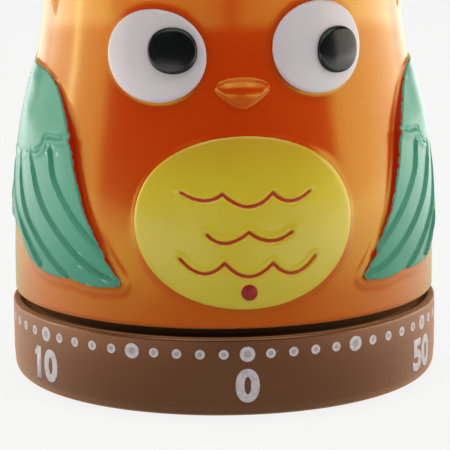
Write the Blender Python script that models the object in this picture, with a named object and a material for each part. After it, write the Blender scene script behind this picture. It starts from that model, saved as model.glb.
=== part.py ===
"""Owl kitchen timer: a wind-up one hour movement in a dial base, turned by an owl-shaped knob.

Lengths in this file are millimetres and angles are degrees. MM turns them into Blender's metres.
The origin is the centre of the resting face, +Z is up and the owl looks along -Y.
Azimuths on the owl and the dial are counted from the front, positive towards +X.
"""
import math

import bmesh
import bpy
from mathutils import Matrix, Vector

MM = 0.001

# ---------------------------------------------------------------- driving dimensions
GAP = 0.15                      # clearance between two pieces that touch on the real timer
RUNNING = 0.12                  # radial clearance of an arbor in its plate
ROUND = 40                      # sides of the large turned pieces
PLATE_ROUND = 36                # sides of the plates, the cover and the bell
SMALL_ROUND = 10                # sides of screws, pins and arbors

DIAL_R = 35.0                   # outside of the dial base
DIAL_TOP = 13.45                # rim of the dial base
BASE_BOTTOM = 0.8               # moulded underside, held off the table by the pads
DECK_TOP = 12.9                 # floor of the groove under the owl
DECK_BOTTOM = 11.4
COLLAR_R = 31.6                 # collar that guides the owl from inside
COLLAR_TOP = 17.5
OPENING_R = 22.6                # hole in the deck that the movement stands in
COVER_R = 32.2
COVER_Z = (0.85, 2.45)

SHELL_BOTTOM = 14.9
SHELL_WALL = 2.0
SHOULDER_Z = 66.0               # the side profile ends here and the dome begins
DOME_HEIGHT = 11.5
EAR_AZIMUTH = 90.0
EAR_LIFT = 11.9
EAR_SPREAD = 17.0               # how far round the head an ear reaches, in azimuth
EAR_LATITUDE = 32.0             # where on the dome it stands
EAR_DEPTH = 26.0
SEAM = 0.2                      # between the front and the rear shell

SIDE_PROFILE = (                # height, outer radius of the owl's body
    (14.9, 34.55), (22.0, 34.5), (34.0, 33.6), (46.0, 31.6), (56.0, 29.8), (62.0, 29.05), (66.0, 28.85),
)

LOWER_PLATE_R = 27.1
LOWER_PLATE_Z = (9.2, 10.2)
UPPER_PLATE_R = 22.0
UPPER_PLATE_Z = (24.0, 25.0)
ARBOR_R = 2.0                   # main arbor
ARBOR_FLAT = 1.4                # its flat for the hub, from its centre
ARBOR_TIP = 34.6
PIVOT_R = 0.8                   # small arbors, where they run in the plates
PINION_ARBOR_R = 0.7            # small arbors, where a wheel is pressed on
ARBOR_FOOT = LOWER_PLATE_Z[0] + 0.05

WHEEL_TEETH = {"great": 48, "second": 48, "third": 48}
PINION_TEETH = 8
MODULE = {"great": 0.52, "second": 0.30, "third": 0.27}
OUTER_ARBORS_R = 14.3           # the third and escape arbors stand clear of the great wheel
GREAT_Z = (10.7, 11.7)
GREAT_PINION_Z = (10.6, 12.9)   # leaves of the two pinions that the great wheel drives
SECOND_Z = (13.2, 14.0)
THIRD_Z = (14.6, 15.4)
ESCAPE_Z = (16.2, 16.8)
ESCAPE_R = 4.0
STAR_Z = (14.6, 15.4)
BALANCE_Z = (18.6, 19.6)
CLICK_Z = (11.9, 12.6)
SPRING_Z = (17.6, 23.2)
CAM_Z = (25.4, 26.4)
HUB_DISC_Z = (28.0, 30.0)
HUB_DISC_R = 31.0
HUB_SCREW_R = 28.8
HUB_BOSS_R = 6.0
HUB_BOSS_Z = (27.0, 34.0)

PILLAR_R = 19.8                 # where the pillars stand
PILLAR_BODY_R = 1.4
PILLAR_TIP = 26.6
STUD_R = 0.9                    # a pillar's ends, and the stud of the trip lever
PILLAR_ANGLES = (100.0, 214.0, 320.0)
MOVEMENT_SCREW_R = 24.8
MOVEMENT_SCREW_ANGLES = (90.0, 210.0, 330.0)
POST_R = 29.6                   # posts that the cover is screwed to
POST_ANGLES = (30.0, 150.0, 270.0)
FOOT_R = 26.5
FOOT_ANGLES = (90.0, 210.0, 330.0)

BELL_CENTRE = (0.0, 4.0)
BELL_R = 18.5
BELL_WALL = 0.7


# ---------------------------------------------------------------- plane geometry
def polar(radius, degrees):
    angle = math.radians(degrees)
    return (radius * math.cos(angle), radius * math.sin(angle))


def circle(radius, sides=SMALL_ROUND, centre=(0.0, 0.0)):
    step = 360.0 / sides
    return [(centre[0] + x, centre[1] + y) for x, y in (polar(radius, k * step) for k in range(sides))]


def capsule(start, end, half_width, end_sides=5):
    """Outline of a bar with round ends."""
    direction = math.degrees(math.atan2(end[1] - start[1], end[0] - start[0]))
    points = []
    for centre, first in ((end, direction - 90.0), (start, direction + 90.0)):
        for k in range(end_sides):
            x, y = polar(half_width, first + 180.0 * k / (end_sides - 1))
            points.append((centre[0] + x, centre[1] + y))
    return points


def d_section(radius, flat, sides=16):
    """A circle with a flat cut across its +X side."""
    half = math.degrees(math.acos(flat / radius))
    return [polar(radius, half + (360.0 - 2.0 * half) * k / sides) for k in range(sides + 1)]


def gear_outline(teeth, module, phase=0.0, addendum=0.8, dedendum=1.15, tip=0.07, root=0.17):
    """Trapezoid teeth; phase is the direction of one tooth's centre."""
    pitch = 360.0 / teeth
    pitch_r = teeth * module / 2.0
    tip_r = pitch_r + addendum * module
    root_r = pitch_r - dedendum * module
    points = []
    for tooth in range(teeth):
        centre = phase + tooth * pitch
        for radius, offset in ((root_r, -root), (tip_r, -tip), (tip_r, tip), (root_r, root)):
            points.append(polar(radius, centre + offset * pitch))
    return points


def saw_outline(teeth, tip_r, root_r, phase=0.0, lean=0.0):
    """Pointed teeth for the escape, star and ratchet wheels; lean tilts them."""
    pitch = 360.0 / teeth
    points = []
    for tooth in range(teeth):
        centre = phase + tooth * pitch
        points.append(polar(tip_r, centre + lean * pitch))
        points.append(polar(root_r, centre + 0.35 * pitch))
        points.append(polar(root_r, centre + 0.65 * pitch))
    return points


def smooth_value(table, x):
    """Catmull-Rom interpolation through (x, y) pairs."""
    last = len(table) - 2
    k = 0
    while k < last and x > table[k + 1][0]:
        k += 1
    x0, y0 = table[k]
    x1, y1 = table[k + 1]
    before = table[max(k - 1, 0)]
    after = table[min(k + 2, len(table) - 1)]
    t = (x - x0) / (x1 - x0)
    m0 = (y1 - before[1]) / (x1 - before[0]) * (x1 - x0)
    m1 = (after[1] - y0) / (after[0] - x0) * (x1 - x0)
    t2 = t * t
    t3 = t2 * t
    return (2 * t3 - 3 * t2 + 1) * y0 + (t3 - 2 * t2 + t) * m0 + (3 * t2 - 2 * t3) * y1 + (t3 - t2) * m1


def smooth_loop(points, count):
    """Closed Catmull-Rom curve through the points, read at count equal steps."""
    n = len(points)
    loop = []
    for k in range(count):
        at = k * n / count
        i = int(at)
        t = at - i
        p0, p1, p2, p3 = (Vector(points[(i + j) % n]) for j in (-1, 0, 1, 2))
        loop.append(0.5 * (2 * p1 + (p2 - p0) * t + (2 * p0 - 5 * p1 + 4 * p2 - p3) * t ** 2
                           + (3 * p1 - p0 - 3 * p2 + p3) * t ** 3))
    return [tuple(p) for p in loop]


# ---------------------------------------------------------------- Blender helpers
def clear_scene():
    for item in list(bpy.data.objects):
        bpy.data.objects.remove(item, do_unlink=True)


def make_material(name, colour, roughness, metallic=0.0):
    material = bpy.data.materials.new(name)
    material.use_nodes = True
    shader = material.node_tree.nodes["Principled BSDF"]
    shader.inputs["Base Color"].default_value = (*colour, 1.0)
    shader.inputs["Roughness"].default_value = roughness
    shader.inputs["Metallic"].default_value = metallic
    material.diffuse_color = (*colour, 1.0)
    return material


def make_axis(name, x=0.0, y=0.0):
    """An empty on a joint's axis, the parent of what turns there."""
    empty = bpy.data.objects.new(name, None)
    empty.location = (x * MM, y * MM, 0.0)
    bpy.context.scene.collection.objects.link(empty)
    return empty


def finish_mesh(name, bm, material, parent=None, smooth_angle=35.0):
    """Turn a bmesh in millimetres, drawn about its parent's axis, into an object."""
    bmesh.ops.recalc_face_normals(bm, faces=bm.faces)
    bmesh.ops.transform(bm, matrix=Matrix.Scale(MM, 4), verts=bm.verts)
    mesh = bpy.data.meshes.new(name)
    bm.to_mesh(mesh)
    bm.free()
    mesh.materials.append(material)
    mesh.shade_smooth()
    mesh.set_sharp_from_angle(angle=math.radians(smooth_angle))
    item = bpy.data.objects.new(name, mesh)
    item.parent = parent
    bpy.context.scene.collection.objects.link(item)
    return item


def turned(profile, steps, centre=(0.0, 0.0)):
    """Revolve a closed (radius, height) outline about Z; points on the axis become one vertex."""
    bm = bmesh.new()
    rings = []
    for radius, height in profile:
        if radius == 0.0:
            rings.append([bm.verts.new((*centre, height))] * steps)
        else:
            rings.append([bm.verts.new((x, y, height)) for x, y in circle(radius, steps, centre)])
    for ring, following in zip(rings, rings[1:] + rings[:1]):
        for k in range(steps):
            corners = (ring[k], following[k], following[(k + 1) % steps], ring[(k + 1) % steps])
            distinct = list(dict.fromkeys(corners))
            if len(distinct) > 2:
                bm.faces.new(distinct)
    return bm


def extruded(outline, low, high, holes=()):
    """A flat plate between two heights, with holes right through it."""
    bm = bmesh.new()
    edges = []
    for loop in (outline, *holes):
        verts = [bm.verts.new((x, y, low)) for x, y in loop]
        edges += [bm.edges.new(pair) for pair in zip(verts, verts[1:] + verts[:1])]
    filled = bmesh.ops.triangle_fill(bm, edges=edges, use_beauty=True)
    faces = [item for item in filled["geom"] if isinstance(item, bmesh.types.BMFace)]
    bmesh.ops.recalc_face_normals(bm, faces=faces)
    grown = bmesh.ops.extrude_face_region(bm, geom=faces, use_keep_orig=True)
    top = [item for item in grown["geom"] if isinstance(item, bmesh.types.BMVert)]
    bmesh.ops.translate(bm, verts=top, vec=(0.0, 0.0, high - low))
    return bm


def boolean(target, operation, tools):
    """Add or cut simple helper solids, which stay as hidden objects."""
    for tool in tools:
        tool.hide_render = True
        tool.display_type = "WIRE"
        modifier = target.modifiers.new(tool.name, "BOOLEAN")
        modifier.operation = operation
        modifier.solver = "EXACT"
        modifier.object = tool


def helper_cylinder(name, centre, radius, low, high, material, sides=SMALL_ROUND, parent=None):
    return finish_mesh(name, extruded(circle(radius, sides, centre), low, high), material, parent)


def screw(name, centre, head_r, head, shank_r, shank_end, material, parent=None):
    """A pan-head screw; head gives the two heights of the head and the shank leaves the second."""
    outer, inner = head
    profile = [(0.0, shank_end), (shank_r, shank_end), (shank_r, inner), (head_r, inner), (head_r, outer),
               (0.0, outer)]
    return finish_mesh(name, turned(profile, SMALL_ROUND, centre), material, parent)


# ---------------------------------------------------------------- the owl's outer surface
def side_radius(height):
    return smooth_value(SIDE_PROFILE, height)


def bump(distance, width):
    """1 in the middle, falling smoothly to 0 at the given distance."""
    share = min(abs(distance) / width, 1.0)
    return (1.0 - share * share) ** 2 * (1.0 - 0.55 * share)


def shell_point(azimuth, along, inset=0.0):
    """A point of the owl: along runs 0..1 up the side and 1..2 over the dome."""
    if along <= 1.0:
        height = SHELL_BOTTOM + (SHOULDER_Z - SHELL_BOTTOM) * along
        radius = side_radius(height) - inset
        lift = 0.0
    else:
        latitude = 90.0 * (along - 1.0)
        cosine = max(math.cos(math.radians(latitude)), 0.0)
        radius = (SIDE_PROFILE[-1][1] - inset) * cosine ** 0.85
        height = SHOULDER_Z + (DOME_HEIGHT - inset) * math.sin(math.radians(latitude))
        lift = 0.0
        if inset == 0.0:
            lift = bump(abs(azimuth) - EAR_AZIMUTH, EAR_SPREAD * 1.6)
            lift *= bump(latitude - EAR_LATITUDE, EAR_DEPTH * 1.2)
        height += EAR_LIFT * lift
        radius += 1.6 * lift
    angle = math.radians(azimuth)
    return Vector((radius * math.sin(angle), -radius * math.cos(angle), height))


def surface_point(arc_azimuth, height, proud):
    """A point just outside the owl's side, by azimuth and height."""
    radius = side_radius(height) + proud
    angle = math.radians(arc_azimuth)
    return (radius * math.sin(angle), -radius * math.cos(angle), height)


def shell_half(name, material, axis, front):
    """One moulded half, from the bottom edge to the crown, closed along the seam."""
    columns = 22
    rows = [k / 8.0 for k in range(8)] + [1.0 + k / 8.0 for k in range(8)]
    bm = bmesh.new()
    skins = []
    for inset in (0.0, SHELL_WALL):
        grid = []
        for along in rows:
            line = []
            for k in range(columns + 1):
                azimuth = -90.0 + 180.0 * k / columns
                point = shell_point(azimuth, along, inset)
                point.y = min(point.y, -SEAM / 2.0)
                if not front:
                    point.y = -point.y
                line.append(bm.verts.new(point))
            grid.append(line)
        crown = shell_point(0.0, 2.0, inset)
        crown.y = -SEAM / 2.0 if front else SEAM / 2.0
        skins.append((grid, bm.verts.new(crown)))
    for grid, crown in skins:
        for low, high in zip(grid, grid[1:]):
            for k in range(columns):
                bm.faces.new((low[k], low[k + 1], high[k + 1], high[k]))
        for k in range(columns):
            bm.faces.new((grid[-1][k], grid[-1][k + 1], crown))
    (outer, outer_crown), (inner, inner_crown) = skins
    for k in range(columns):
        bm.faces.new((outer[0][k], outer[0][k + 1], inner[0][k + 1], inner[0][k]))
    for side in (0, columns):
        edge_out = [line[side] for line in outer] + [outer_crown]
        edge_in = [line[side] for line in inner] + [inner_crown]
        for k in range(len(rows)):
            bm.faces.new((edge_out[k], edge_out[k + 1], edge_in[k + 1], edge_in[k]))
    return finish_mesh(name, bm, material, axis)


def relief_patch(name, outline, centre, proud, material, axis, count=32, rings=4, gap=0.25):
    """A thin moulded panel that follows the owl's side, from gap to proud above it."""
    edge, crown = proud
    loop = smooth_loop(outline, count)
    bm = bmesh.new()

    def ring(share, above):
        points = []
        for azimuth, height in loop:
            points.append(bm.verts.new(surface_point(
                centre[0] + (azimuth - centre[0]) * share, centre[1] + (height - centre[1]) * share, above)))
        return points

    innermost = 0.18
    shares = [1.0 - (1.0 - innermost) * k / (rings - 1) for k in range(rings)]
    for inside in (False, True):
        heights = [gap if inside else edge + (crown - edge) * (1.0 - share ** 3) for share in shares]
        loops = [ring(share, above) for share, above in zip(shares, heights)]
        middle = bm.verts.new(surface_point(*centre, gap if inside else crown))
        for outer, inner in zip(loops, loops[1:]):
            for k in range(count):
                bm.faces.new((outer[k], outer[(k + 1) % count], inner[(k + 1) % count], inner[k]))
        for k in range(count):
            bm.faces.new((loops[-1][k], loops[-1][(k + 1) % count], middle))
        if inside:
            for k in range(count):
                bm.faces.new((border[k], border[(k + 1) % count], loops[0][(k + 1) % count], loops[0][k]))
        else:
            border = loops[0]
    return finish_mesh(name, bm, material, axis)


def oval(centre, half_azimuth, half_height, sides=12, power=2.0):
    """A superellipse in azimuth and height."""
    points = []
    for k in range(sides):
        c = math.cos(2.0 * math.pi * k / sides)
        s = math.sin(2.0 * math.pi * k / sides)
        points.append((centre[0] + half_azimuth * math.copysign(abs(c) ** (2.0 / power), c),
                       centre[1] + half_height * math.copysign(abs(s) ** (2.0 / power), s)))
    return points


# ---------------------------------------------------------------- owl shells and what is bonded on them
# Outlines are (azimuth, height); a proud pair is (border, middle) above the owl's side.
EYES = {"left_eye": (-25.7, 56.35), "right_eye": (23.9, 57.3)}
EYE_HALF = (15.0, 7.05)
EYE_PROUD = (1.0, 1.7)
PUPILS = {"left_pupil": (-19.7, 57.3), "right_pupil": (28.8, 56.8)}
PUPIL_HALF = (7.0, 3.5)
PUPIL_PROUD = (2.5, 2.75)
BELLY_CENTRE = (0.0, 31.2)
BELLY_HALF = (29.6, 13.2)
BELLY_PROUD = (0.5, 0.6)
POINTER = (0.6, 20.7)
POINTER_HALF = (2.2, 1.3)
POINTER_PROUD = (0.85, 0.9)
BEAK_CENTRE = (0.0, 51.4)
BEAK_PROUD = (0.6, 1.5)
BEAK_ROOT = -0.8                # the beak starts inside the shell's wall, which it is one with
BEAK = (
    (-7.6, 51.6), (-5.8, 52.6), (0.0, 53.0), (5.8, 52.6), (7.6, 51.6), (5.8, 50.2), (0.0, 48.7), (-5.8, 50.2),
)
WING_CENTRE = (80.0, 38.0)
WING_PROUD = (0.6, 1.35)
WING_OUTLINE = (                # right wing, clockwise from its top
    (76.0, 52.6), (61.0, 50.7), (52.3, 44.1), (47.7, 37.4), (40.3, 27.9), (33.3, 21.2), (47.4, 20.5),
    (64.5, 23.5), (78.7, 26.2), (100.0, 27.6), (117.0, 31.0), (124.0, 38.0), (115.0, 46.5), (96.0, 52.3),
)


def build_owl(axis, paint):
    boss_angles = (45.0, 135.0, 225.0, 315.0)
    for name, front in (("front_shell", True), ("rear_shell", False)):
        shell = shell_half(name, paint["orange"], axis, front)
        sign = -1.0 if front else 1.0
        mine = [angle for angle in boss_angles if sign * math.sin(math.radians(angle)) > 0.0]
        bosses = []
        holes = []
        for k, angle in enumerate(mine):
            centre = polar(HUB_SCREW_R, angle)
            bosses.append(helper_cylinder(f"{name}_boss_{k}", centre, 3.0, HUB_DISC_Z[1] + GAP, 41.0,
                                          paint["orange"], parent=axis))
            holes.append(helper_cylinder(f"{name}_pilot_{k}", centre, 0.95, HUB_DISC_Z[1] - 1.0, 38.0,
                                         paint["orange"], parent=axis))
        boolean(shell, "UNION", bosses)
        if front:
            beak = relief_patch("beak_relief", BEAK, BEAK_CENTRE, BEAK_PROUD, paint["orange"], axis,
                                count=16, rings=3, gap=BEAK_ROOT)
            boolean(shell, "UNION", [beak])
        boolean(shell, "DIFFERENCE", holes)
    mirrored = [(-azimuth, height) for azimuth, height in WING_OUTLINE]
    relief_patch("right_wing", WING_OUTLINE, WING_CENTRE, WING_PROUD, paint["teal"], axis, count=36, rings=5)
    relief_patch("left_wing", mirrored, (-WING_CENTRE[0], WING_CENTRE[1]), WING_PROUD, paint["teal"], axis,
                 count=36, rings=5)
    relief_patch("belly_panel", oval(BELLY_CENTRE, *BELLY_HALF, sides=16), BELLY_CENTRE, BELLY_PROUD,
                 paint["yellow"], axis, count=28, gap=GAP)
    for name, centre in EYES.items():
        relief_patch(name, oval(centre, *EYE_HALF), centre, EYE_PROUD, paint["white"], axis, count=20,
                     rings=3)
    for name, centre in PUPILS.items():
        relief_patch(name, oval(centre, *PUPIL_HALF), centre, PUPIL_PROUD, paint["black"], axis, count=16,
                     rings=2, gap=EYE_PROUD[1] + GAP)
    relief_patch("pointer_dot", oval(POINTER, *POINTER_HALF), POINTER, POINTER_PROUD, paint["red"], axis,
                 count=12, rings=2, gap=BELLY_PROUD[1] + 0.1)


# ---------------------------------------------------------------- hub and main arbor
def build_hub(axis, paint):
    low, high = HUB_BOSS_Z
    profile = [(0.0, high), (HUB_BOSS_R - 1.0, high), (HUB_BOSS_R - 0.4, high - 0.6),
               (HUB_BOSS_R, HUB_DISC_Z[1]), (HUB_DISC_R, HUB_DISC_Z[1]), (HUB_DISC_R, HUB_DISC_Z[0]),
               (HUB_BOSS_R, HUB_DISC_Z[0]), (HUB_BOSS_R, low), (0.0, low)]
    hub = finish_mesh("hub", turned(profile, 28), paint["white_plastic"], axis)
    bore = extruded(d_section(ARBOR_R + GAP, ARBOR_FLAT + GAP), low - 1.0, high + 1.0)
    tools = [finish_mesh("hub_bore", bore, paint["white"], axis)]
    for k in range(4):
        centre = polar(HUB_SCREW_R, 45.0 + 90.0 * k)
        tools.append(helper_cylinder(f"hub_hole_{k}", centre, 1.0, 26.0, 32.0, paint["white"], parent=axis))
        head = (HUB_DISC_Z[0] - 1.1, HUB_DISC_Z[0] - GAP)
        screw(f"hub_screw_{k + 1}", centre, 1.9, head, 0.75, 36.5, paint["steel"], axis)
    boolean(hub, "DIFFERENCE", tools)


def build_main_arbor(axis, paint):
    shoulder = LOWER_PLATE_Z[1] + 0.2
    foot = LOWER_PLATE_Z[0] + 0.1
    profile = [(0.0, ARBOR_TIP), (ARBOR_R - 0.2, ARBOR_TIP), (ARBOR_R, ARBOR_TIP - 0.2), (ARBOR_R, shoulder),
               (1.2, shoulder), (1.2, foot), (0.0, foot)]
    arbor = finish_mesh("main_arbor", turned(profile, 16), paint["steel"], axis)
    cutter = [(ARBOR_FLAT, -3.0), (3.0, -3.0), (3.0, 3.0), (ARBOR_FLAT, 3.0)]
    cut = extruded(cutter, HUB_BOSS_Z[0] - 0.2, ARBOR_TIP + 1.4)
    flat = finish_mesh("arbor_flat", cut, paint["steel"], axis)
    boolean(arbor, "DIFFERENCE", [flat])
    bore = circle(ARBOR_R + GAP, 16)
    rim = 7.0
    notch_r = 5.7
    notch_centre = 85.0
    notch_half = 18.0
    outline = [polar(notch_r, notch_centre + notch_half * s) for s in (-0.8, 0.0, 0.8)]
    rest = 360.0 - 2.0 * notch_half
    outline += [polar(rim, notch_centre + notch_half + rest * k / 24.0) for k in range(25)]
    finish_mesh("arbor_cam", extruded(outline, *CAM_Z, holes=[bore]), paint["brass"], axis)
    ratchet = saw_outline(16, 5.6, 4.6, lean=0.35)
    finish_mesh("ratchet_wheel", extruded(ratchet, *CLICK_Z, holes=[bore]), paint["steel"], axis)


# ---------------------------------------------------------------- going train
def train_positions():
    """Arbor centres: each wheel's distance to the next pinion is set by its module."""
    distance = {name: (WHEEL_TEETH[name] + PINION_TEETH) * MODULE[name] / 2.0 for name in WHEEL_TEETH}

    def next_centre(previous_r, previous_angle, radius, reach):
        cosine = (previous_r ** 2 + radius ** 2 - reach ** 2) / (2.0 * previous_r * radius)
        return radius, previous_angle + math.degrees(math.acos(cosine))

    second = (distance["great"], 150.0)
    third = next_centre(*second, OUTER_ARBORS_R, distance["second"])
    escape = next_centre(*third, OUTER_ARBORS_R, distance["third"])
    alarm = (distance["great"], 20.0)
    places = {"second": second, "third": third, "escape": escape, "alarm": alarm}
    return {name: polar(*place) for name, place in places.items()}


def direction(start, end):
    return math.degrees(math.atan2(end[1] - start[1], end[0] - start[0]))


def pinion(name, axis, module, toward_driver, teeth_z, material):
    """Pinion leaves cut on an arbor that runs in both plates."""
    phase = toward_driver + 180.0 / PINION_TEETH
    item = finish_mesh(name, extruded(gear_outline(PINION_TEETH, module, phase), *teeth_z), material, axis)
    arbor = helper_cylinder(f"{name}_arbor", (0.0, 0.0), PINION_ARBOR_R, ARBOR_FOOT, UPPER_PLATE_Z[1],
                            material, parent=axis)
    boolean(item, "UNION", [arbor])


def wheel(name, axis, outline, heights, material, spokes=0, rim_r=0.0, bore=PINION_ARBOR_R + GAP):
    """A flat wheel pressed on its arbor, with round lightening holes when spokes is set."""
    holes = [circle(bore, SMALL_ROUND)]
    for k in range(spokes):
        holes.append(circle(rim_r * 0.24, 6, polar(rim_r * 0.56, 360.0 * k / spokes)))
    return finish_mesh(name, extruded(outline, *heights, holes=holes), material, axis)


def build_train(centres, paint):
    origin = (0.0, 0.0)
    great = make_axis("great_axis")
    bore = ARBOR_R + RUNNING
    outline = gear_outline(WHEEL_TEETH["great"], MODULE["great"], direction(origin, centres["second"]))
    wheel("great_wheel", great, outline, GREAT_Z, paint["brass"], bore=bore)
    click = [(7.2, -0.9), (9.0, -1.1), (9.8, 0.0), (9.0, 1.1), (7.6, 0.9), (6.6, 1.9), (6.05, 1.6),
             (6.3, 0.6)]
    finish_mesh("click", extruded(click, *CLICK_Z), paint["steel"], great)
    layout = (
        ("second", "great", origin, "third", GREAT_PINION_Z, SECOND_Z),
        ("third", "second", centres["second"], "escape", (13.05, 14.35), THIRD_Z),
        ("escape", "third", centres["third"], None, (14.45, 15.95), ESCAPE_Z),
    )
    for name, driver, driver_centre, driven, teeth_z, wheel_z in layout:
        centre = centres[name]
        axis = make_axis(f"{name}_axis", *centre)
        back = direction(centre, driver_centre)
        pinion(f"{name}_pinion", axis, MODULE[driver], back, teeth_z, paint["steel"])
        if driven:
            outline = gear_outline(WHEEL_TEETH[name], MODULE[name], direction(centre, centres[driven]))
            pitch_r = WHEEL_TEETH[name] * MODULE[name] / 2
            wheel(f"{name}_wheel", axis, outline, wheel_z, paint["brass"], 4, pitch_r)
        else:
            outline = saw_outline(20, ESCAPE_R, ESCAPE_R - 0.8, lean=0.2)
            wheel(f"{name}_wheel", axis, outline, wheel_z, paint["brass"])


# ---------------------------------------------------------------- escapement, alarm and trip lever
PALLET_REACH = 6.0
PALLET_DIRECTION = 300.0
HAMMER_ARBOR = polar(17.5, 45.0)
HAMMER_HEAD_R = 1.6
HAMMER_HEAD = (BELL_CENTRE[0] + polar(15.3, 8.0)[0], BELL_CENTRE[1] + polar(15.3, 8.0)[1])
TRIP_PIVOT = polar(14.5, 125.0)
TRIP_NOSE = polar(7.95, 85.0)
TRIP_TAIL = (HAMMER_ARBOR[0] - 2.4, HAMMER_ARBOR[1] + 1.4)


def pallet_centre(centres):
    x, y = polar(PALLET_REACH, PALLET_DIRECTION)
    return (centres["escape"][0] + x, centres["escape"][1] + y)


def build_pallet(centres, paint):
    centre = pallet_centre(centres)
    axis = make_axis("pallet_axis", *centre)
    pin = extruded(circle(PINION_ARBOR_R), ARBOR_FOOT, UPPER_PLATE_Z[1])
    finish_mesh("pallet_arbor", pin, paint["steel"], axis)
    back = PALLET_DIRECTION + 180.0
    half_arm = ((1.7, 90.0), (4.6, 62.0), (5.4, 47.0), (5.0, 43.0), (3.2, 50.0))
    arms = [polar(reach, back + turn) for reach, turn in half_arm] + [polar(1.9, back)]
    arms += [polar(reach, back - turn) for reach, turn in reversed(half_arm)] + [polar(1.8, back + 180.0)]
    bore = circle(PINION_ARBOR_R + GAP)
    finish_mesh("pallet_anchor", extruded(arms, *ESCAPE_Z, holes=[bore]), paint["steel"], axis)
    bar = []
    for start, end in ((0.0, 1.0), (1.0, 0.0)):
        side = 90.0 if start == 0.0 else -90.0
        tip = polar(4.2, back + side)
        for k in range(7):
            x, y = polar(1.5, back + side - 120.0 + 40.0 * k)
            bar.append((tip[0] + x, tip[1] + y))
    finish_mesh("balance_bar", extruded(bar[::-1], *BALANCE_Z, holes=[bore]), paint["brass"], axis)


def build_alarm(centres, paint):
    star = make_axis("alarm_axis", *centres["alarm"])
    back = direction(centres["alarm"], (0.0, 0.0))
    # The great wheel's phase is set at the second arbor, so the alarm pinion is turned to match it.
    pitch = 360.0 / WHEEL_TEETH["great"]
    offset = (direction((0.0, 0.0), centres["alarm"]) - direction((0.0, 0.0), centres["second"])) % pitch
    turn = offset * WHEEL_TEETH["great"] / PINION_TEETH
    pinion("alarm_pinion", star, MODULE["great"], back + turn, GREAT_PINION_Z, paint["steel"])
    wheel("star_wheel", star, saw_outline(15, 4.6, 3.3), STAR_Z, paint["brass"])

    axis = make_axis("hammer_axis", *HAMMER_ARBOR)
    arbor = finish_mesh("hammer_arbor", extruded(circle(PIVOT_R), 5.8, CAM_Z[1]), paint["steel"], axis)
    flat = finish_mesh("hammer_flat", extruded([(-2.0, 0.35), (2.0, 0.35), (2.0, 2.0), (-2.0, 2.0)],
                                               CAM_Z[0] - 0.2, CAM_Z[1] + 1.0), paint["steel"], axis)
    boolean(arbor, "DIFFERENCE", [flat])
    head = (HAMMER_HEAD[0] - HAMMER_ARBOR[0], HAMMER_HEAD[1] - HAMMER_ARBOR[1])
    bore = circle(PIVOT_R + GAP)
    hammer = finish_mesh("hammer", extruded(capsule((0.0, 0.0), head, 1.2), 6.6, 7.5, holes=[bore]),
                         paint["steel"], axis)
    weight = helper_cylinder("hammer_weight", head, HAMMER_HEAD_R, 5.2, 8.1, paint["steel"], 16, axis)
    boolean(hammer, "UNION", [weight])
    toward = direction(HAMMER_ARBOR, centres["alarm"])
    reach = math.dist(HAMMER_ARBOR, centres["alarm"])
    tooth_gap = reach - 4.6 - 0.35
    finger = [polar(1.6, toward + 90.0), polar(tooth_gap, toward + 9.0), polar(tooth_gap, toward - 9.0),
              polar(1.6, toward - 90.0), polar(1.7, toward + 180.0)]
    finish_mesh("hammer_pallet", extruded(finger, *STAR_Z, holes=[bore]), paint["steel"], axis)


def build_trip_lever(paint):
    helper_cylinder("lever_stud", TRIP_PIVOT, STUD_R, UPPER_PLATE_Z[1] + GAP, CAM_Z[1] + 0.8, paint["steel"])
    axis = make_axis("trip_axis", *TRIP_PIVOT)
    nose = (TRIP_NOSE[0] - TRIP_PIVOT[0], TRIP_NOSE[1] - TRIP_PIVOT[1])
    tail = (TRIP_TAIL[0] - TRIP_PIVOT[0], TRIP_TAIL[1] - TRIP_PIVOT[1])
    bar = extruded(capsule((0.0, 0.0), tail, 1.5), *CAM_Z, holes=[circle(STUD_R + GAP)])
    lever = finish_mesh("trip_lever", bar, paint["steel"], axis)
    finger = extruded(capsule((nose[0] - 2.0, nose[1] + 4.4), nose, 0.7), *CAM_Z)
    arm = finish_mesh("trip_nose", finger, paint["steel"], axis)
    boolean(lever, "UNION", [arm])


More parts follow.
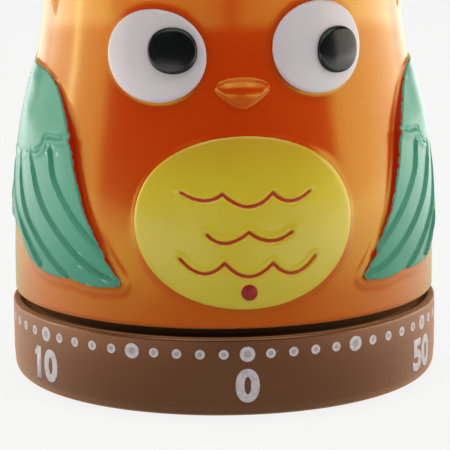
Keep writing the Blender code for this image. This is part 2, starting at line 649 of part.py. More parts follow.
# ---------------------------------------------------------------- plates, pillars, spring and bell
def build_frame(centres, paint):
    pivots = [centres[name] for name in ("second", "third", "escape", "alarm")] + [pallet_centre(centres)]
    pivot_hole = PINION_ARBOR_R + RUNNING
    small = [circle(pivot_hole, SMALL_ROUND, centre) for centre in pivots]
    small.append(circle(PIVOT_R + RUNNING, SMALL_ROUND, HAMMER_ARBOR))
    pillars = [polar(PILLAR_R, angle) for angle in PILLAR_ANGLES]
    studs = [circle(STUD_R + GAP, SMALL_ROUND, centre) for centre in pillars]
    screws = [polar(MOVEMENT_SCREW_R, angle) for angle in MOVEMENT_SCREW_ANGLES]
    lower = small + studs + [circle(1.2 + RUNNING), circle(1.0 + GAP, SMALL_ROUND, BELL_CENTRE)]
    lower += [circle(1.05, SMALL_ROUND, centre) for centre in screws]
    lower_disc = circle(LOWER_PLATE_R, PLATE_ROUND)
    finish_mesh("lower_plate", extruded(lower_disc, *LOWER_PLATE_Z, holes=lower), paint["zinc"])
    upper = small + studs + [circle(ARBOR_R + RUNNING, 16)]
    upper_disc = circle(UPPER_PLATE_R, PLATE_ROUND)
    finish_mesh("upper_plate", extruded(upper_disc, *UPPER_PLATE_Z, holes=upper), paint["zinc"])
    for k, centre in enumerate(pillars):
        low = LOWER_PLATE_Z[1] + GAP
        high = UPPER_PLATE_Z[0] - GAP
        profile = [(0.0, PILLAR_TIP), (STUD_R, PILLAR_TIP), (STUD_R, high), (PILLAR_BODY_R, high),
                   (PILLAR_BODY_R, low), (STUD_R, low), (STUD_R, ARBOR_FOOT), (0.0, ARBOR_FOOT)]
        finish_mesh(f"pillar_{k + 1}", turned(profile, SMALL_ROUND, centre), paint["steel"])
        nut = extruded(circle(2.1, 6, centre), UPPER_PLATE_Z[1] + GAP, PILLAR_TIP - 0.3,
                       holes=[circle(STUD_R + GAP, SMALL_ROUND, centre)])
        finish_mesh(f"pillar_nut_{k + 1}", nut, paint["brass"])
    for k, centre in enumerate(screws):
        head = (8.3, LOWER_PLATE_Z[0] - GAP)
        screw(f"movement_screw_{k + 1}", centre, 1.8, head, 0.8, DECK_TOP - 0.2, paint["steel"])


def build_mainspring(paint):
    """A flat coil round the main arbor, its outer end led to the first pillar."""
    turns = 5
    per_turn = 12
    inner_r = 3.0
    pitch = 1.5
    half = 0.25
    start = PILLAR_ANGLES[0]
    centre_line = []
    for k in range(turns * per_turn + 1):
        share = k / per_turn
        centre_line.append(Vector(polar(inner_r + pitch * share, start + 30.0 + 360.0 * share)))
    pillar = Vector(polar(PILLAR_R - PILLAR_BODY_R - 0.5, start))
    centre_line.append((centre_line[-1] * 2.0 + Vector(polar(13.0, start + 12.0))) / 3.0)
    centre_line.append(pillar)
    sides = ([], [])
    for k, point in enumerate(centre_line):
        ahead = centre_line[min(k + 1, len(centre_line) - 1)]
        behind = centre_line[max(k - 1, 0)]
        along = (ahead - behind).normalized()
        across = Vector((-along.y, along.x)) * half
        sides[0].append(tuple(point + across))
        sides[1].append(tuple(point - across))
    finish_mesh("mainspring", extruded(sides[0] + sides[1][::-1], *SPRING_Z), paint["steel"])


def build_bell(paint):
    inner = BELL_R - BELL_WALL
    profile = [(1.1, 4.0), (inner - 2.6, 4.0), (inner - 0.8, 4.6), (inner, 6.2), (inner, 8.5), (BELL_R, 8.5),
               (BELL_R, 6.0), (BELL_R - 0.9, 4.2), (BELL_R - 2.9, 3.3), (1.1, 3.3)]
    finish_mesh("bell", turned(profile, PLATE_ROUND, BELL_CENTRE), paint["bell"])
    top = LOWER_PLATE_Z[0] - GAP
    post = [(0.0, 10.1), (1.0, 10.1), (1.0, top), (1.8, top), (1.8, 4.15), (1.05, 4.15), (1.05, 7.0),
            (0.0, 7.0)]
    finish_mesh("bell_post", turned(post, SMALL_ROUND, BELL_CENTRE), paint["brass"])
    screw("bell_screw", BELL_CENTRE, 2.2, (2.6, 3.15), 0.9, 6.5, paint["steel"])


# ---------------------------------------------------------------- base
def build_base(paint):
    corner = 2.2
    foot_arc = []
    for k in range(5):
        x, y = polar(corner, -22.5 * k)
        foot_arc.append((DIAL_R - corner + x, BASE_BOTTOM + corner + y))
    collar_inside = COLLAR_R - 1.6
    profile = [(OPENING_R, DECK_TOP), (collar_inside, DECK_TOP), (collar_inside, COLLAR_TOP),
               (COLLAR_R, COLLAR_TOP), (COLLAR_R, DECK_TOP), (DIAL_R - 1.4, DECK_TOP),
               (DIAL_R - 1.2, DIAL_TOP), (DIAL_R - 0.35, DIAL_TOP),
               (DIAL_R, DIAL_TOP - 0.35), *foot_arc, (COVER_R + 0.3, BASE_BOTTOM), (COVER_R + 0.3, 2.65),
               (DIAL_R - 1.9, 2.65), (DIAL_R - 1.9, DECK_BOTTOM), (OPENING_R, DECK_BOTTOM)]
    housing = finish_mesh("base_housing", turned(profile, ROUND), paint["brown"])
    added = []
    holes = []
    for k, angle in enumerate(POST_ANGLES):
        centre = polar(POST_R, angle)
        added.append(helper_cylinder(f"cover_post_{k}", centre, 2.2, COVER_Z[1] + GAP, DECK_BOTTOM + 0.5,
                                     paint["brown"]))
        holes.append(helper_cylinder(f"cover_pilot_{k}", centre, 0.95, 0.0, 9.5, paint["brown"], 8))
        screw(f"cover_screw_{k + 1}", centre, 1.75, (1.0, 1.5), 0.75, 8.5, paint["steel"])
    for k, angle in enumerate(MOVEMENT_SCREW_ANGLES):
        centre = polar(MOVEMENT_SCREW_R, angle)
        added.append(helper_cylinder(f"plate_boss_{k}", centre, 1.9, LOWER_PLATE_Z[1] + GAP,
                                     DECK_BOTTOM + 0.5, paint["brown"]))
        holes.append(helper_cylinder(f"plate_pilot_{k}", centre, 1.0, 9.0, 14.0, paint["brown"], 8))
    boolean(housing, "UNION", added)
    boolean(housing, "DIFFERENCE", holes)

    openings = [circle(1.0, SMALL_ROUND, polar(POST_R, angle)) for angle in POST_ANGLES]
    for k in range(6):
        angle = 60.0 * k
        openings.append(capsule(polar(7.0, angle), polar(15.0, angle), 1.1, 4))
    disc = extruded(circle(COVER_R, PLATE_ROUND), *COVER_Z, holes=openings)
    cover = finish_mesh("base_cover", disc, paint["dark"])
    seats = [helper_cylinder(f"screw_seat_{k}", polar(POST_R, angle), 2.0, 0.0, 1.65, paint["dark"])
             for k, angle in enumerate(POST_ANGLES)]
    boolean(cover, "DIFFERENCE", seats)
    for k, angle in enumerate(FOOT_ANGLES):
        pad = circle(3.6, 16, polar(FOOT_R, angle))
        finish_mesh(f"rubber_foot_{k + 1}", extruded(pad, 0.0, COVER_Z[0] - GAP), paint["rubber"])


# ---------------------------------------------------------------- assembly
def build_materials():
    return {
        "orange": make_material("orange_plastic", (0.55, 0.06, 0.004), 0.18),
        "teal": make_material("teal_paint", (0.12, 0.42, 0.27), 0.4),
        "yellow": make_material("yellow_paint", (0.58, 0.47, 0.03), 0.4),
        "white": make_material("white_paint", (0.6, 0.55, 0.56), 0.35),
        "black": make_material("black_paint", (0.004, 0.005, 0.005), 0.3),
        "red": make_material("red_paint", (0.35, 0.01, 0.01), 0.4),
        "white_plastic": make_material("hub_plastic", (0.7, 0.69, 0.66), 0.4),
        "brown": make_material("brown_plastic", (0.09, 0.03, 0.012), 0.3),
        "dark": make_material("cover_plastic", (0.05, 0.02, 0.01), 0.5),
        "rubber": make_material("foot_rubber", (0.03, 0.03, 0.03), 0.8),
        "steel": make_material("steel", (0.56, 0.56, 0.58), 0.35, 1.0),
        "zinc": make_material("zinc_plate", (0.62, 0.63, 0.62), 0.45, 1.0),
        "brass": make_material("brass", (0.72, 0.5, 0.2), 0.35, 1.0),
        "bell": make_material("bell_steel", (0.7, 0.68, 0.62), 0.25, 1.0),
    }


def main():
    clear_scene()
    paint = build_materials()
    owl_axis = make_axis("owl_axis")
    centres = train_positions()
    build_base(paint)
    build_frame(centres, paint)
    build_mainspring(paint)
    build_bell(paint)
    build_train(centres, paint)
    build_pallet(centres, paint)
    build_alarm(centres, paint)
    build_trip_lever(paint)
    build_main_arbor(owl_axis, paint)
    build_hub(owl_axis, paint)
    build_owl(owl_axis, paint)


main()
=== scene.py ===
# %% [markdown]
# # An owl kitchen timer
# A one hour wind-up timer. The owl is a knob that turns on a round dial base, with a clockwork
# movement and a bell hidden inside. This lesson dresses the bare mechanical model: every visible
# shell gets its real surface, and every part its own finish.
# The model arrives as a fixed frame, so nothing below moves it. New pieces are laid over it.

# %% Load the frame
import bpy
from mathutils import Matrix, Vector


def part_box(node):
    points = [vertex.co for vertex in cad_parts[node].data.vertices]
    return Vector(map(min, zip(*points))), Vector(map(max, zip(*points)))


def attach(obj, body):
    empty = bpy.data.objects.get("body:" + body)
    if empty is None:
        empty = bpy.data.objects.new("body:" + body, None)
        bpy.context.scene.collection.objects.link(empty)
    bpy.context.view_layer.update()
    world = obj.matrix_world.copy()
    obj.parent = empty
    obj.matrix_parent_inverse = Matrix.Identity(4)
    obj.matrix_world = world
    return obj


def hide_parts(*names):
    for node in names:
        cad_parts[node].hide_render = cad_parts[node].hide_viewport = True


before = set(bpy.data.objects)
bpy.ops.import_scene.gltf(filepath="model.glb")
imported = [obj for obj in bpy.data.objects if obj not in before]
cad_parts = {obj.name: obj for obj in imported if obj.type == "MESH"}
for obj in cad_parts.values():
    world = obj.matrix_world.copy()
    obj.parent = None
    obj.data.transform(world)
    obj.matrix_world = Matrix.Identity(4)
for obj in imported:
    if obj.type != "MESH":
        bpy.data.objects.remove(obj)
print("parts in the frame:", len(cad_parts))

# %% Modules and the size box
import math

import bmesh
import bpy
import numpy as np
from mathutils import Matrix, Vector

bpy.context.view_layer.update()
MM = 0.001

# %% [markdown]
# ## Sizes
# A good habit is to ask the frame for sizes and to keep only the rest as named values. The frame
# says how wide the dial is and where the owl's shell starts. New pieces stay a hair (`CLEARANCE`)
# inside the bare model. Everything is in millimetres here, measured round the timer's axis: an
# azimuth of 0 is the owl's front, and it grows towards +X.

# %% Sizes read from the frame
dial_low, dial_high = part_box("base_housing")
shell_low, shell_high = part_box("front_shell")
CLEARANCE = 0.05
DIAL_R = dial_high.x / MM - CLEARANCE
BASE_BOTTOM = dial_low.z / MM
SHELL_BOTTOM = shell_low.z / MM
HEAD_TOP = shell_high.z / MM
DIAL_TOP = 13.45
print("dial radius", round(DIAL_R, 2), "shell starts at", round(SHELL_BOTTOM, 2), "head top",
      round(HEAD_TOP, 2))

# %% [markdown]
# ## The camera
# A product picture is taken with a long lens from just above table height. The long lens keeps the
# dial's ellipse flat, and the small turn to the left shows the owl almost from the front.
# A slight roll is left in, as a hand-set tripod has.

# %% Camera
CAMERA_TARGET = Vector((0.0, 0.0, 24.4)) * MM
CAMERA_DISTANCE = 416.0 * MM
CAMERA_AZIMUTH = math.radians(-5.8)
CAMERA_ELEVATION = math.radians(11.13)
CAMERA_ROLL = math.radians(-0.5)
LENS = 200.6
SENSOR_WIDTH = 36.0
SIDE_SHIFT = 0.0036
NEAREST_SEEN = 10.0 * MM


def make_camera():
    back = Vector((math.sin(CAMERA_AZIMUTH) * math.cos(CAMERA_ELEVATION),
                   -math.cos(CAMERA_AZIMUTH) * math.cos(CAMERA_ELEVATION), math.sin(CAMERA_ELEVATION)))
    data = bpy.data.cameras.new("product_camera")
    data.lens = LENS
    data.sensor_width = SENSOR_WIDTH
    data.shift_x = SIDE_SHIFT
    data.clip_start = NEAREST_SEEN
    camera = bpy.data.objects.new("product_camera", data)
    turn = (-back).to_track_quat("-Z", "Y").to_matrix().to_4x4()
    camera.matrix_world = (Matrix.Translation(CAMERA_TARGET + back * CAMERA_DISTANCE) @ turn
                           @ Matrix.Rotation(CAMERA_ROLL, 4, "Z"))
    bpy.context.scene.collection.objects.link(camera)
    bpy.context.scene.camera = camera
    return camera


camera = make_camera()
print("camera at", [round(v, 3) for v in camera.location])

# %% [markdown]
# ## Making a mesh from numbers
# The owl is a surface that can be written as a formula: a radius for each height, plus relief.
# Writing such a surface point by point is more exact than pushing vertices about, and numpy does
# thousands of points at once. These helpers turn the points into Blender meshes.

# %% Mesh helpers
SAME_POINT = 1e-7


def new_object(name, mesh, material, body, replaced=()):
    """Link a finished mesh, give it its material, let it ride on a body and hide the parts it replaces."""
    item = bpy.data.objects.new(name, mesh)
    bpy.context.scene.collection.objects.link(item)
    if material.name not in mesh.materials:
        mesh.materials.append(material)
    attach(item, body)
    if replaced:
        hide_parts(*replaced)
    return item


def mesh_from(name, points, faces, attributes=None, smooth_angle=None, merge=False):
    """A mesh from millimetre points; attributes are one number per point."""
    mesh = bpy.data.meshes.new(name)
    mesh.from_pydata((np.asarray(points, float) * MM).tolist(), [], faces)
    for key, values in (attributes or {}).items():
        layer = mesh.attributes.new(key, "FLOAT", "POINT")
        layer.data.foreach_set("value", np.asarray(values, np.float32))
    bm = bmesh.new()
    bm.from_mesh(mesh)
    if merge:
        bmesh.ops.remove_doubles(bm, verts=bm.verts, dist=SAME_POINT)
    bmesh.ops.recalc_face_normals(bm, faces=bm.faces)
    bm.to_mesh(mesh)
    bm.free()
    mesh.shade_smooth()
    if smooth_angle:
        mesh.set_sharp_from_angle(angle=math.radians(smooth_angle))
    return mesh


def grid_faces(rows, columns, wrap=False):
    """Quads of a grid whose points are stored row by row."""
    across = columns if wrap else columns - 1
    faces = []
    for r in range(rows - 1):
        low = r * columns
        for c in range(across):
            d = (c + 1) % columns
            faces.append((low + c, low + d, low + columns + d, low + columns + c))
    return faces


print("a grid of 3 by 4 points has", len(grid_faces(3, 4)), "faces")


# %% Turned shapes and rounded corners
def turned_mesh(name, profile, steps, smooth_angle=40.0):
    """Revolve a closed outline of (radius, height) pairs."""
    angles = np.linspace(0.0, 2.0 * math.pi, steps, endpoint=False)
    rows = [np.stack([r * np.cos(angles), r * np.sin(angles), np.full(steps, z)], 1) for r, z in profile]
    faces = grid_faces(len(profile), steps, wrap=True)
    last = (len(profile) - 1) * steps
    faces += [(last + c, last + (c + 1) % steps, (c + 1) % steps, c) for c in range(steps)]
    return mesh_from(name, np.concatenate(rows), faces, smooth_angle=smooth_angle, merge=True)


def arc(centre, radius, start, end, count):
    """Points of a rounded corner, as (radius, height) pairs."""
    angles = np.radians(np.linspace(start, end, count))
    return [(centre[0] + radius * math.cos(a), centre[1] + radius * math.sin(a)) for a in angles]


print("a quarter round:", [tuple(round(v, 2) for v in pair) for pair in arc((0, 0), 1.0, 0.0, 90.0, 3)])

# %% [markdown]
# ## Curves and distances
# Relief is easiest to design by distance: how far is this point from the wing's edge, or from an
# engraved line? One function that measures the distance to a line of points serves the wings, the
# belly, the eyes and the beak.

# %% Smooth curves
def smooth_value(table, x):
    """A smooth curve through (x, y) pairs, read at many x at once."""
    xs, ys = np.array(table, float).T
    slope = np.gradient(ys, xs)
    x = np.clip(x, xs[0], xs[-1])
    k = np.clip(np.searchsorted(xs, x) - 1, 0, len(xs) - 2)
    width = xs[k + 1] - xs[k]
    t = (x - xs[k]) / width
    return ((2 * t ** 3 - 3 * t ** 2 + 1) * ys[k] + (t ** 3 - 2 * t ** 2 + t) * slope[k] * width
            + (3 * t ** 2 - 2 * t ** 3) * ys[k + 1] + (t ** 3 - t ** 2) * slope[k + 1] * width)


def smooth_line(points, per_piece, closed=False):
    """Catmull-Rom curve through the points."""
    points = np.array(points, float)
    n = len(points)
    count = n if closed else n - 1
    curve = []
    for i in range(count):
        if closed:
            p0, p1, p2, p3 = (points[(i + j) % n] for j in (-1, 0, 1, 2))
        else:
            p0, p1, p2, p3 = (points[min(max(i + j, 0), n - 1)] for j in (-1, 0, 1, 2))
        for k in range(per_piece):
            t = k / per_piece
            curve.append(0.5 * (2 * p1 + (p2 - p0) * t + (2 * p0 - 5 * p1 + 4 * p2 - p3) * t ** 2
                                + (3 * p1 - p0 - 3 * p2 + p3) * t ** 3))
    if not closed:
        curve.append(points[-1])
    return np.array(curve)


print("halfway along a ramp:", float(smooth_value(((0, 0), (1, 1)), 0.5)))


# %% Distances and soft steps
FAR = 1e9


def line_distance(points, line):
    """Distance from each point to a polyline, with a sign that says which side it is on."""
    best = np.full(len(points), FAR)
    side = np.ones(len(points))
    for start, end in zip(line[:-1], line[1:]):
        run = end - start
        length2 = max(float(run @ run), 1e-12)
        t = np.clip(((points - start) @ run) / length2, 0.0, 1.0)
        gap = points - start - t[:, None] * run
        distance = np.hypot(gap[:, 0], gap[:, 1])
        closer = distance < best
        best[closer] = distance[closer]
        side[closer] = np.where(run[0] * gap[closer, 1] - run[1] * gap[closer, 0] >= 0.0, 1.0, -1.0)
    return best * side


def loop_distance(points, loop):
    """Distance to a closed outline, positive inside it."""
    closed = np.vstack([loop, loop[:1]])
    distance = np.abs(line_distance(points, closed))
    inside = np.zeros(len(points), bool)
    for (x0, y0), (x1, y1) in zip(closed[:-1], closed[1:]):
        crosses = (y0 > points[:, 1]) != (y1 > points[:, 1])
        if y1 != y0:
            inside ^= crosses & (points[:, 0] < (x1 - x0) * (points[:, 1] - y0) / (y1 - y0) + x0)
    return np.where(inside, distance, -distance)


def smooth_step(x, low, high):
    t = np.clip((x - low) / (high - low), 0.0, 1.0)
    return t * t * (3.0 - 2.0 * t)


def bell_curve(x, centre, width):
    return np.exp(-((x - centre) / width) ** 2)


unit_square = np.array([(-1.0, -1.0), (1.0, -1.0), (1.0, 1.0), (-1.0, 1.0)])
print("the middle of a square lies inside by", loop_distance(np.zeros((1, 2)), unit_square)[0])


# %% [markdown]
# ## The owl's body
# The body is a turned shape: widest just above the dial, narrowing to the head. Its side is drawn
# by a few heights and radii, and the head closes as a low dome. Relief is added along the radius,
# in a flat picture of the surface where x is the distance round the body and y the height.

# %% The owl's side and dome
SIDE_PROFILE = ((14.9, 34.5), (22.0, 34.45), (28.0, 34.15), (34.0, 33.55), (40.0, 32.65), (46.0, 31.6),
                (50.0, 30.85), (56.0, 29.75), (60.0, 29.15), (63.0, 28.98), (66.0, 28.85))
SHOULDER_Z = 66.0


def side_radius(height):
    return smooth_value(SIDE_PROFILE, height)


def on_surface(flat, proud):
    """Wrap flat points (distance round the body, height) onto the owl's side."""
    radius = side_radius(flat[:, 1])
    angle = flat[:, 0] / radius
    return np.stack([(radius + proud) * np.sin(angle), -(radius + proud) * np.cos(angle), flat[:, 1]], 1)


def flat_from(azimuth_height):
    """(azimuth in degrees, height) pairs as flat points."""
    table = np.array(azimuth_height, float)
    return np.stack([np.radians(table[:, 0]) * side_radius(table[:, 1]), table[:, 1]], 1)


print("side radius low and high:", SIDE_PROFILE[0][1], SIDE_PROFILE[-1][1])

# %% [markdown]
# ## Outlines of the raised features
# Each raised area is moulded proud of the body and sprayed through a mask. The outlines are drawn
# with as few points as their shape needs. The wings mirror each other; the eyes were sculpted by
# hand and sit a little unevenly, which is part of the charm. Wing points are written as an
# azimuth in degrees and a height; the others are flat millimetres.

# %% Outlines of wings, eyes, pupils, belly and beak
WING_EDGE = (
    (-77.0, 52.6), (-69.4, 52.2), (-61.5, 50.4), (-55.5, 46.9), (-51.2, 42.9), (-48.2, 38.0),
    (-44.4, 32.3), (-40.2, 27.9), (-36.3, 24.2), (-32.9, 21.3), (-36.3, 20.6), (-42.5, 20.4),
    (-49.0, 21.0), (-53.5, 20.9), (-60.5, 21.2), (-68.0, 22.7), (-75.5, 26.0), (-84.0, 27.3),
    (-97.0, 27.0), (-110.0, 29.2), (-120.0, 34.0), (-122.0, 40.0), (-114.0, 46.6), (-98.0, 51.4),
    (-87.0, 52.9))
WING_CENTRE = (-78.0, 37.0)
RIDGES = (
    ((-58.9, 40.4), (-56.7, 36.6), (-53.4, 34.0), (-49.4, 31.4), (-45.3, 29.1), (-40.6, 26.8),
     (-35.6, 24.2)),
    ((-69.6, 39.6), (-65.2, 34.9), (-61.0, 31.7), (-56.5, 29.2), (-51.2, 26.7), (-45.1, 24.1),
     (-38.6, 22.1), (-34.5, 21.6)),
    ((-78.5, 38.6), (-75.5, 33.6), (-70.0, 29.4), (-65.0, 27.2), (-60.4, 25.1), (-55.4, 22.9),
     (-51.0, 21.3)),
    ((-90.5, 38.6), (-87.5, 34.0), (-81.5, 30.4), (-74.0, 27.6), (-68.0, 25.2), (-62.0, 22.2)),
    ((-104.0, 39.5), (-100.0, 34.5), (-93.0, 31.0), (-86.0, 28.4)),
)
FEATHER_STEP = ((-50.2, 43.3), (-55.5, 42.6), (-61.6, 42.4), (-62.9, 40.9), (-66.5, 39.9), (-73.2, 39.5),
                (-75.5, 38.9), (-84.0, 38.6), (-95.0, 39.2), (-108.0, 40.2))
BELLY_CENTRE = (0.0, 31.2)
BELLY_HALF = (17.45, 13.25)
EYES = {"left_eye": ((-13.3, 56.35), (8.0, 7.05)), "right_eye": ((12.4, 57.3), (7.75, 7.05))}
PUPILS = {"left_pupil": ((-10.2, 57.3), (3.65, 3.5)), "right_pupil": ((14.95, 56.8), (3.6, 3.55))}
BEAK_EDGE = ((-4.1, 51.6), (-3.0, 52.6), (0.0, 53.0), (3.0, 52.6), (4.1, 51.6), (2.9, 50.2), (0.0, 48.7),
             (-2.9, 50.2))
POINTER = (0.35, 20.7)
POINTER_R = 1.22
BELLY_POWER = 2.06
EYE_POWER = 2.05
PUPIL_POWER = 2.15


def oval_loop(centre, half, count, power=2.0):
    """A superellipse as flat points."""
    angle = np.linspace(0.0, 2.0 * math.pi, count, endpoint=False)
    c = np.cos(angle)
    s = np.sin(angle)
    return np.stack([centre[0] + half[0] * np.sign(c) * np.abs(c) ** (2.0 / power),
                     centre[1] + half[1] * np.sign(s) * np.abs(s) ** (2.0 / power)], 1)


wing_loop = smooth_line(flat_from(WING_EDGE), 12, closed=True)
beak_loop = smooth_line(BEAK_EDGE, 8, closed=True)
belly_loop = oval_loop(BELLY_CENTRE, BELLY_HALF, 96, BELLY_POWER)
eye_loops = {name: oval_loop(centre, half, 64, EYE_POWER) for name, (centre, half) in EYES.items()}
print("wing outline points:", len(wing_loop))

# %% [markdown]
# ## Shader building blocks
# Every finish here is made from nodes. A small helper that adds a node, sets it up and wires its
# inputs keeps each material readable from top to bottom, like a recipe.

# %% Node helpers
def add(tree, kind, inputs=None, **settings):
    """Add a node; inputs maps a socket's name or number to a value or to another node's output."""
    node = tree.nodes.new(kind)
    for key, value in settings.items():
        setattr(node, key, value)
    for key, value in (inputs or {}).items():
        if isinstance(value, bpy.types.NodeSocket):
            tree.links.new(value, node.inputs[key])
        else:
            node.inputs[key].default_value = value
    return node


def maths(tree, operation, a, b=0.5, clamp=False):
    return add(tree, "ShaderNodeMath", {0: a, 1: b}, operation=operation, use_clamp=clamp).outputs[0]


def noise(tree, vector, scale, detail=2.0, roughness=0.5):
    return add(tree, "ShaderNodeTexNoise", {"Vector": vector, "Scale": scale, "Detail": detail,
                                            "Roughness": roughness}).outputs["Fac"]


def spread(tree, value, low, high, to_low=0.0, to_high=1.0):
    """Map a value from one range to another, without leaving the new range."""
    inputs = {"Value": value, "From Min": low, "From Max": high, "To Min": to_low, "To Max": to_high}
    return add(tree, "ShaderNodeMapRange", inputs, clamp=True, interpolation_type="SMOOTHSTEP").outputs[0]


def mix_colour(tree, factor, a, b):
    node = add(tree, "ShaderNodeMix", {0: factor, 6: a, 7: b}, data_type="RGBA", clamp_factor=True)
    return node.outputs[2]


print("node helpers: add, maths, noise, spread, mix_colour")


# %% Groups, materials and colours
def new_group(name, inputs, outputs):
    """An empty shader group; inputs are (name, type, value) and outputs (name, type)."""
    group = bpy.data.node_groups.new(name, "ShaderNodeTree")
    for label, kind, value in inputs:
        socket = group.interface.new_socket(label, in_out="INPUT", socket_type=kind)
        socket.default_value = value
    for label, kind in outputs:
        group.interface.new_socket(label, in_out="OUTPUT", socket_type=kind)
    return group, group.nodes.new("NodeGroupInput"), group.nodes.new("NodeGroupOutput")


def use_group(tree, group, inputs=None):
    return add(tree, "ShaderNodeGroup", inputs, node_tree=group)


def new_material(name):
    material = bpy.data.materials.new(name)
    material.use_nodes = True
    tree = material.node_tree
    tree.nodes.clear()
    output = tree.nodes.new("ShaderNodeOutputMaterial")
    shader = tree.nodes.new("ShaderNodeBsdfPrincipled")
    tree.links.new(shader.outputs[0], output.inputs[0])
    coordinates = tree.nodes.new("ShaderNodeTexCoord").outputs["Object"]
    return material, tree, shader, coordinates


def bumpy(tree, shader, height, depth, strength=1.0):
    """Feed a height through a Bump node to a shader's normal; depth is in metres."""
    inputs = {"Strength": strength, "Distance": depth, "Height": height}
    bump = add(tree, "ShaderNodeBump", inputs)
    tree.links.new(bump.outputs["Normal"], shader.inputs["Normal"])


def linear(red, green, blue):
    """An sRGB colour, 0 to 255, as the linear colour that a shader takes."""
    return tuple((v / 255.0 / 12.92 if v <= 10 else ((v / 255.0 + 0.055) / 1.055) ** 2.4)
                 for v in (red, green, blue)) + (1.0,)


print("mid grey for a shader:", round(linear(128, 128, 128)[0], 3))

# %% [markdown]
# ## Effects shared by several finishes
# Three effects come back all over the timer, so each is a node group with its own dials.
# `moulded_skin` is the skin of an injection moulding: long soft waves where the wall cooled, and a
# faint grain. `ragged_paint_edge` is where a spray mask ended: the paint stops at a set distance
# from an edge, but never in a clean line. `handled` is what handling leaves: fine scuffs that make
# the gloss uneven, and specks of dust.

# %% Group: moulded skin
FLOAT = "NodeSocketFloat"
VECTOR = "NodeSocketVector"


def make_moulded_skin():
    inputs = (("Vector", VECTOR, (0, 0, 0)), ("Wave Size", FLOAT, 140.0), ("Waves", FLOAT, 0.6),
              ("Grain Size", FLOAT, 2600.0), ("Grain", FLOAT, 0.1))
    group, given, out = new_group("moulded_skin", inputs, (("Height", FLOAT),))
    waves = noise(group, given.outputs["Vector"], given.outputs["Wave Size"], 1.0)
    grain = noise(group, given.outputs["Vector"], given.outputs["Grain Size"], 3.0, 0.6)
    height = maths(group, "ADD", maths(group, "MULTIPLY", waves, given.outputs["Waves"]),
                   maths(group, "MULTIPLY", grain, given.outputs["Grain"]))
    group.links.new(height, out.inputs["Height"])
    return group


moulded_skin = make_moulded_skin()
print("group:", moulded_skin.name)


# %% Group: ragged paint edge
def make_ragged_paint_edge():
    inputs = (("Vector", VECTOR, (0, 0, 0)), ("Distance", FLOAT, 0.0), ("Start", FLOAT, 0.0),
              ("Raggedness", FLOAT, 0.3), ("Grain Size", FLOAT, 900.0), ("Softness", FLOAT, 0.05))
    group, given, out = new_group("ragged_paint_edge", inputs, (("Mask", FLOAT),))
    ragged = noise(group, given.outputs["Vector"], given.outputs["Grain Size"], 3.0, 0.65)
    shift = maths(group, "MULTIPLY", maths(group, "SUBTRACT", ragged, 0.5), given.outputs["Raggedness"])
    moved = maths(group, "ADD", given.outputs["Distance"], shift)
    reach = maths(group, "SUBTRACT", moved, given.outputs["Start"])
    mask = maths(group, "ADD", maths(group, "DIVIDE", reach, given.outputs["Softness"]), 0.5, clamp=True)
    group.links.new(mask, out.inputs["Mask"])
    return group


ragged_paint_edge = make_ragged_paint_edge()
print("group:", ragged_paint_edge.name)


# %% Group: signs of handling
def make_handled():
    inputs = (("Vector", VECTOR, (0, 0, 0)), ("Scuffs", FLOAT, 0.5), ("Specks", FLOAT, 0.5))
    group, given, out = new_group("handled", inputs, (("Scuff Mask", FLOAT), ("Speck Mask", FLOAT)))
    drawn_out = {"Vector": given.outputs["Vector"], "Rotation": (0.4, 0.9, 0.3), "Scale": (1.0, 9.0, 2.0)}
    stretched = add(group, "ShaderNodeMapping", drawn_out).outputs[0]
    streaks = spread(group, noise(group, stretched, 420.0, 4.0, 0.65), 0.56, 0.74)
    patches = spread(group, noise(group, given.outputs["Vector"], 55.0, 2.0), 0.42, 0.66)
    scuffs = maths(group, "MULTIPLY", maths(group, "MULTIPLY", streaks, patches), given.outputs["Scuffs"])
    cells = add(group, "ShaderNodeTexVoronoi", {"Vector": given.outputs["Vector"], "Scale": 650.0},
                feature="F1").outputs["Distance"]
    dots = spread(group, cells, 0.03, 0.10, 1.0, 0.0)
    some = spread(group, noise(group, given.outputs["Vector"], 210.0, 1.0), 0.60, 0.68)
    specks = maths(group, "MULTIPLY", maths(group, "MULTIPLY", dots, some), given.outputs["Specks"])
    group.links.new(scuffs, out.inputs["Scuff Mask"])
    group.links.new(specks, out.inputs["Speck Mask"])
    return group


handled = make_handled()
print("groups:", [group.name for group in bpy.data.node_groups])

# %% [markdown]
# ## The plastics
# The owl is moulded in a deep orange, glossy styrene. It is slightly see-through, so thin edges
# glow redder and fuller: a little subsurface scattering does that. The dial base is the same kind
# of plastic in brown. Gloss comes from a low roughness that the scuffs disturb a little.

# %% A moulded plastic
DUST = (0.62, 0.58, 0.54, 1.0)
GLOW_RADIUS = (1.0, 0.25, 0.1)
GLOW_DEPTH = 1.2 * MM


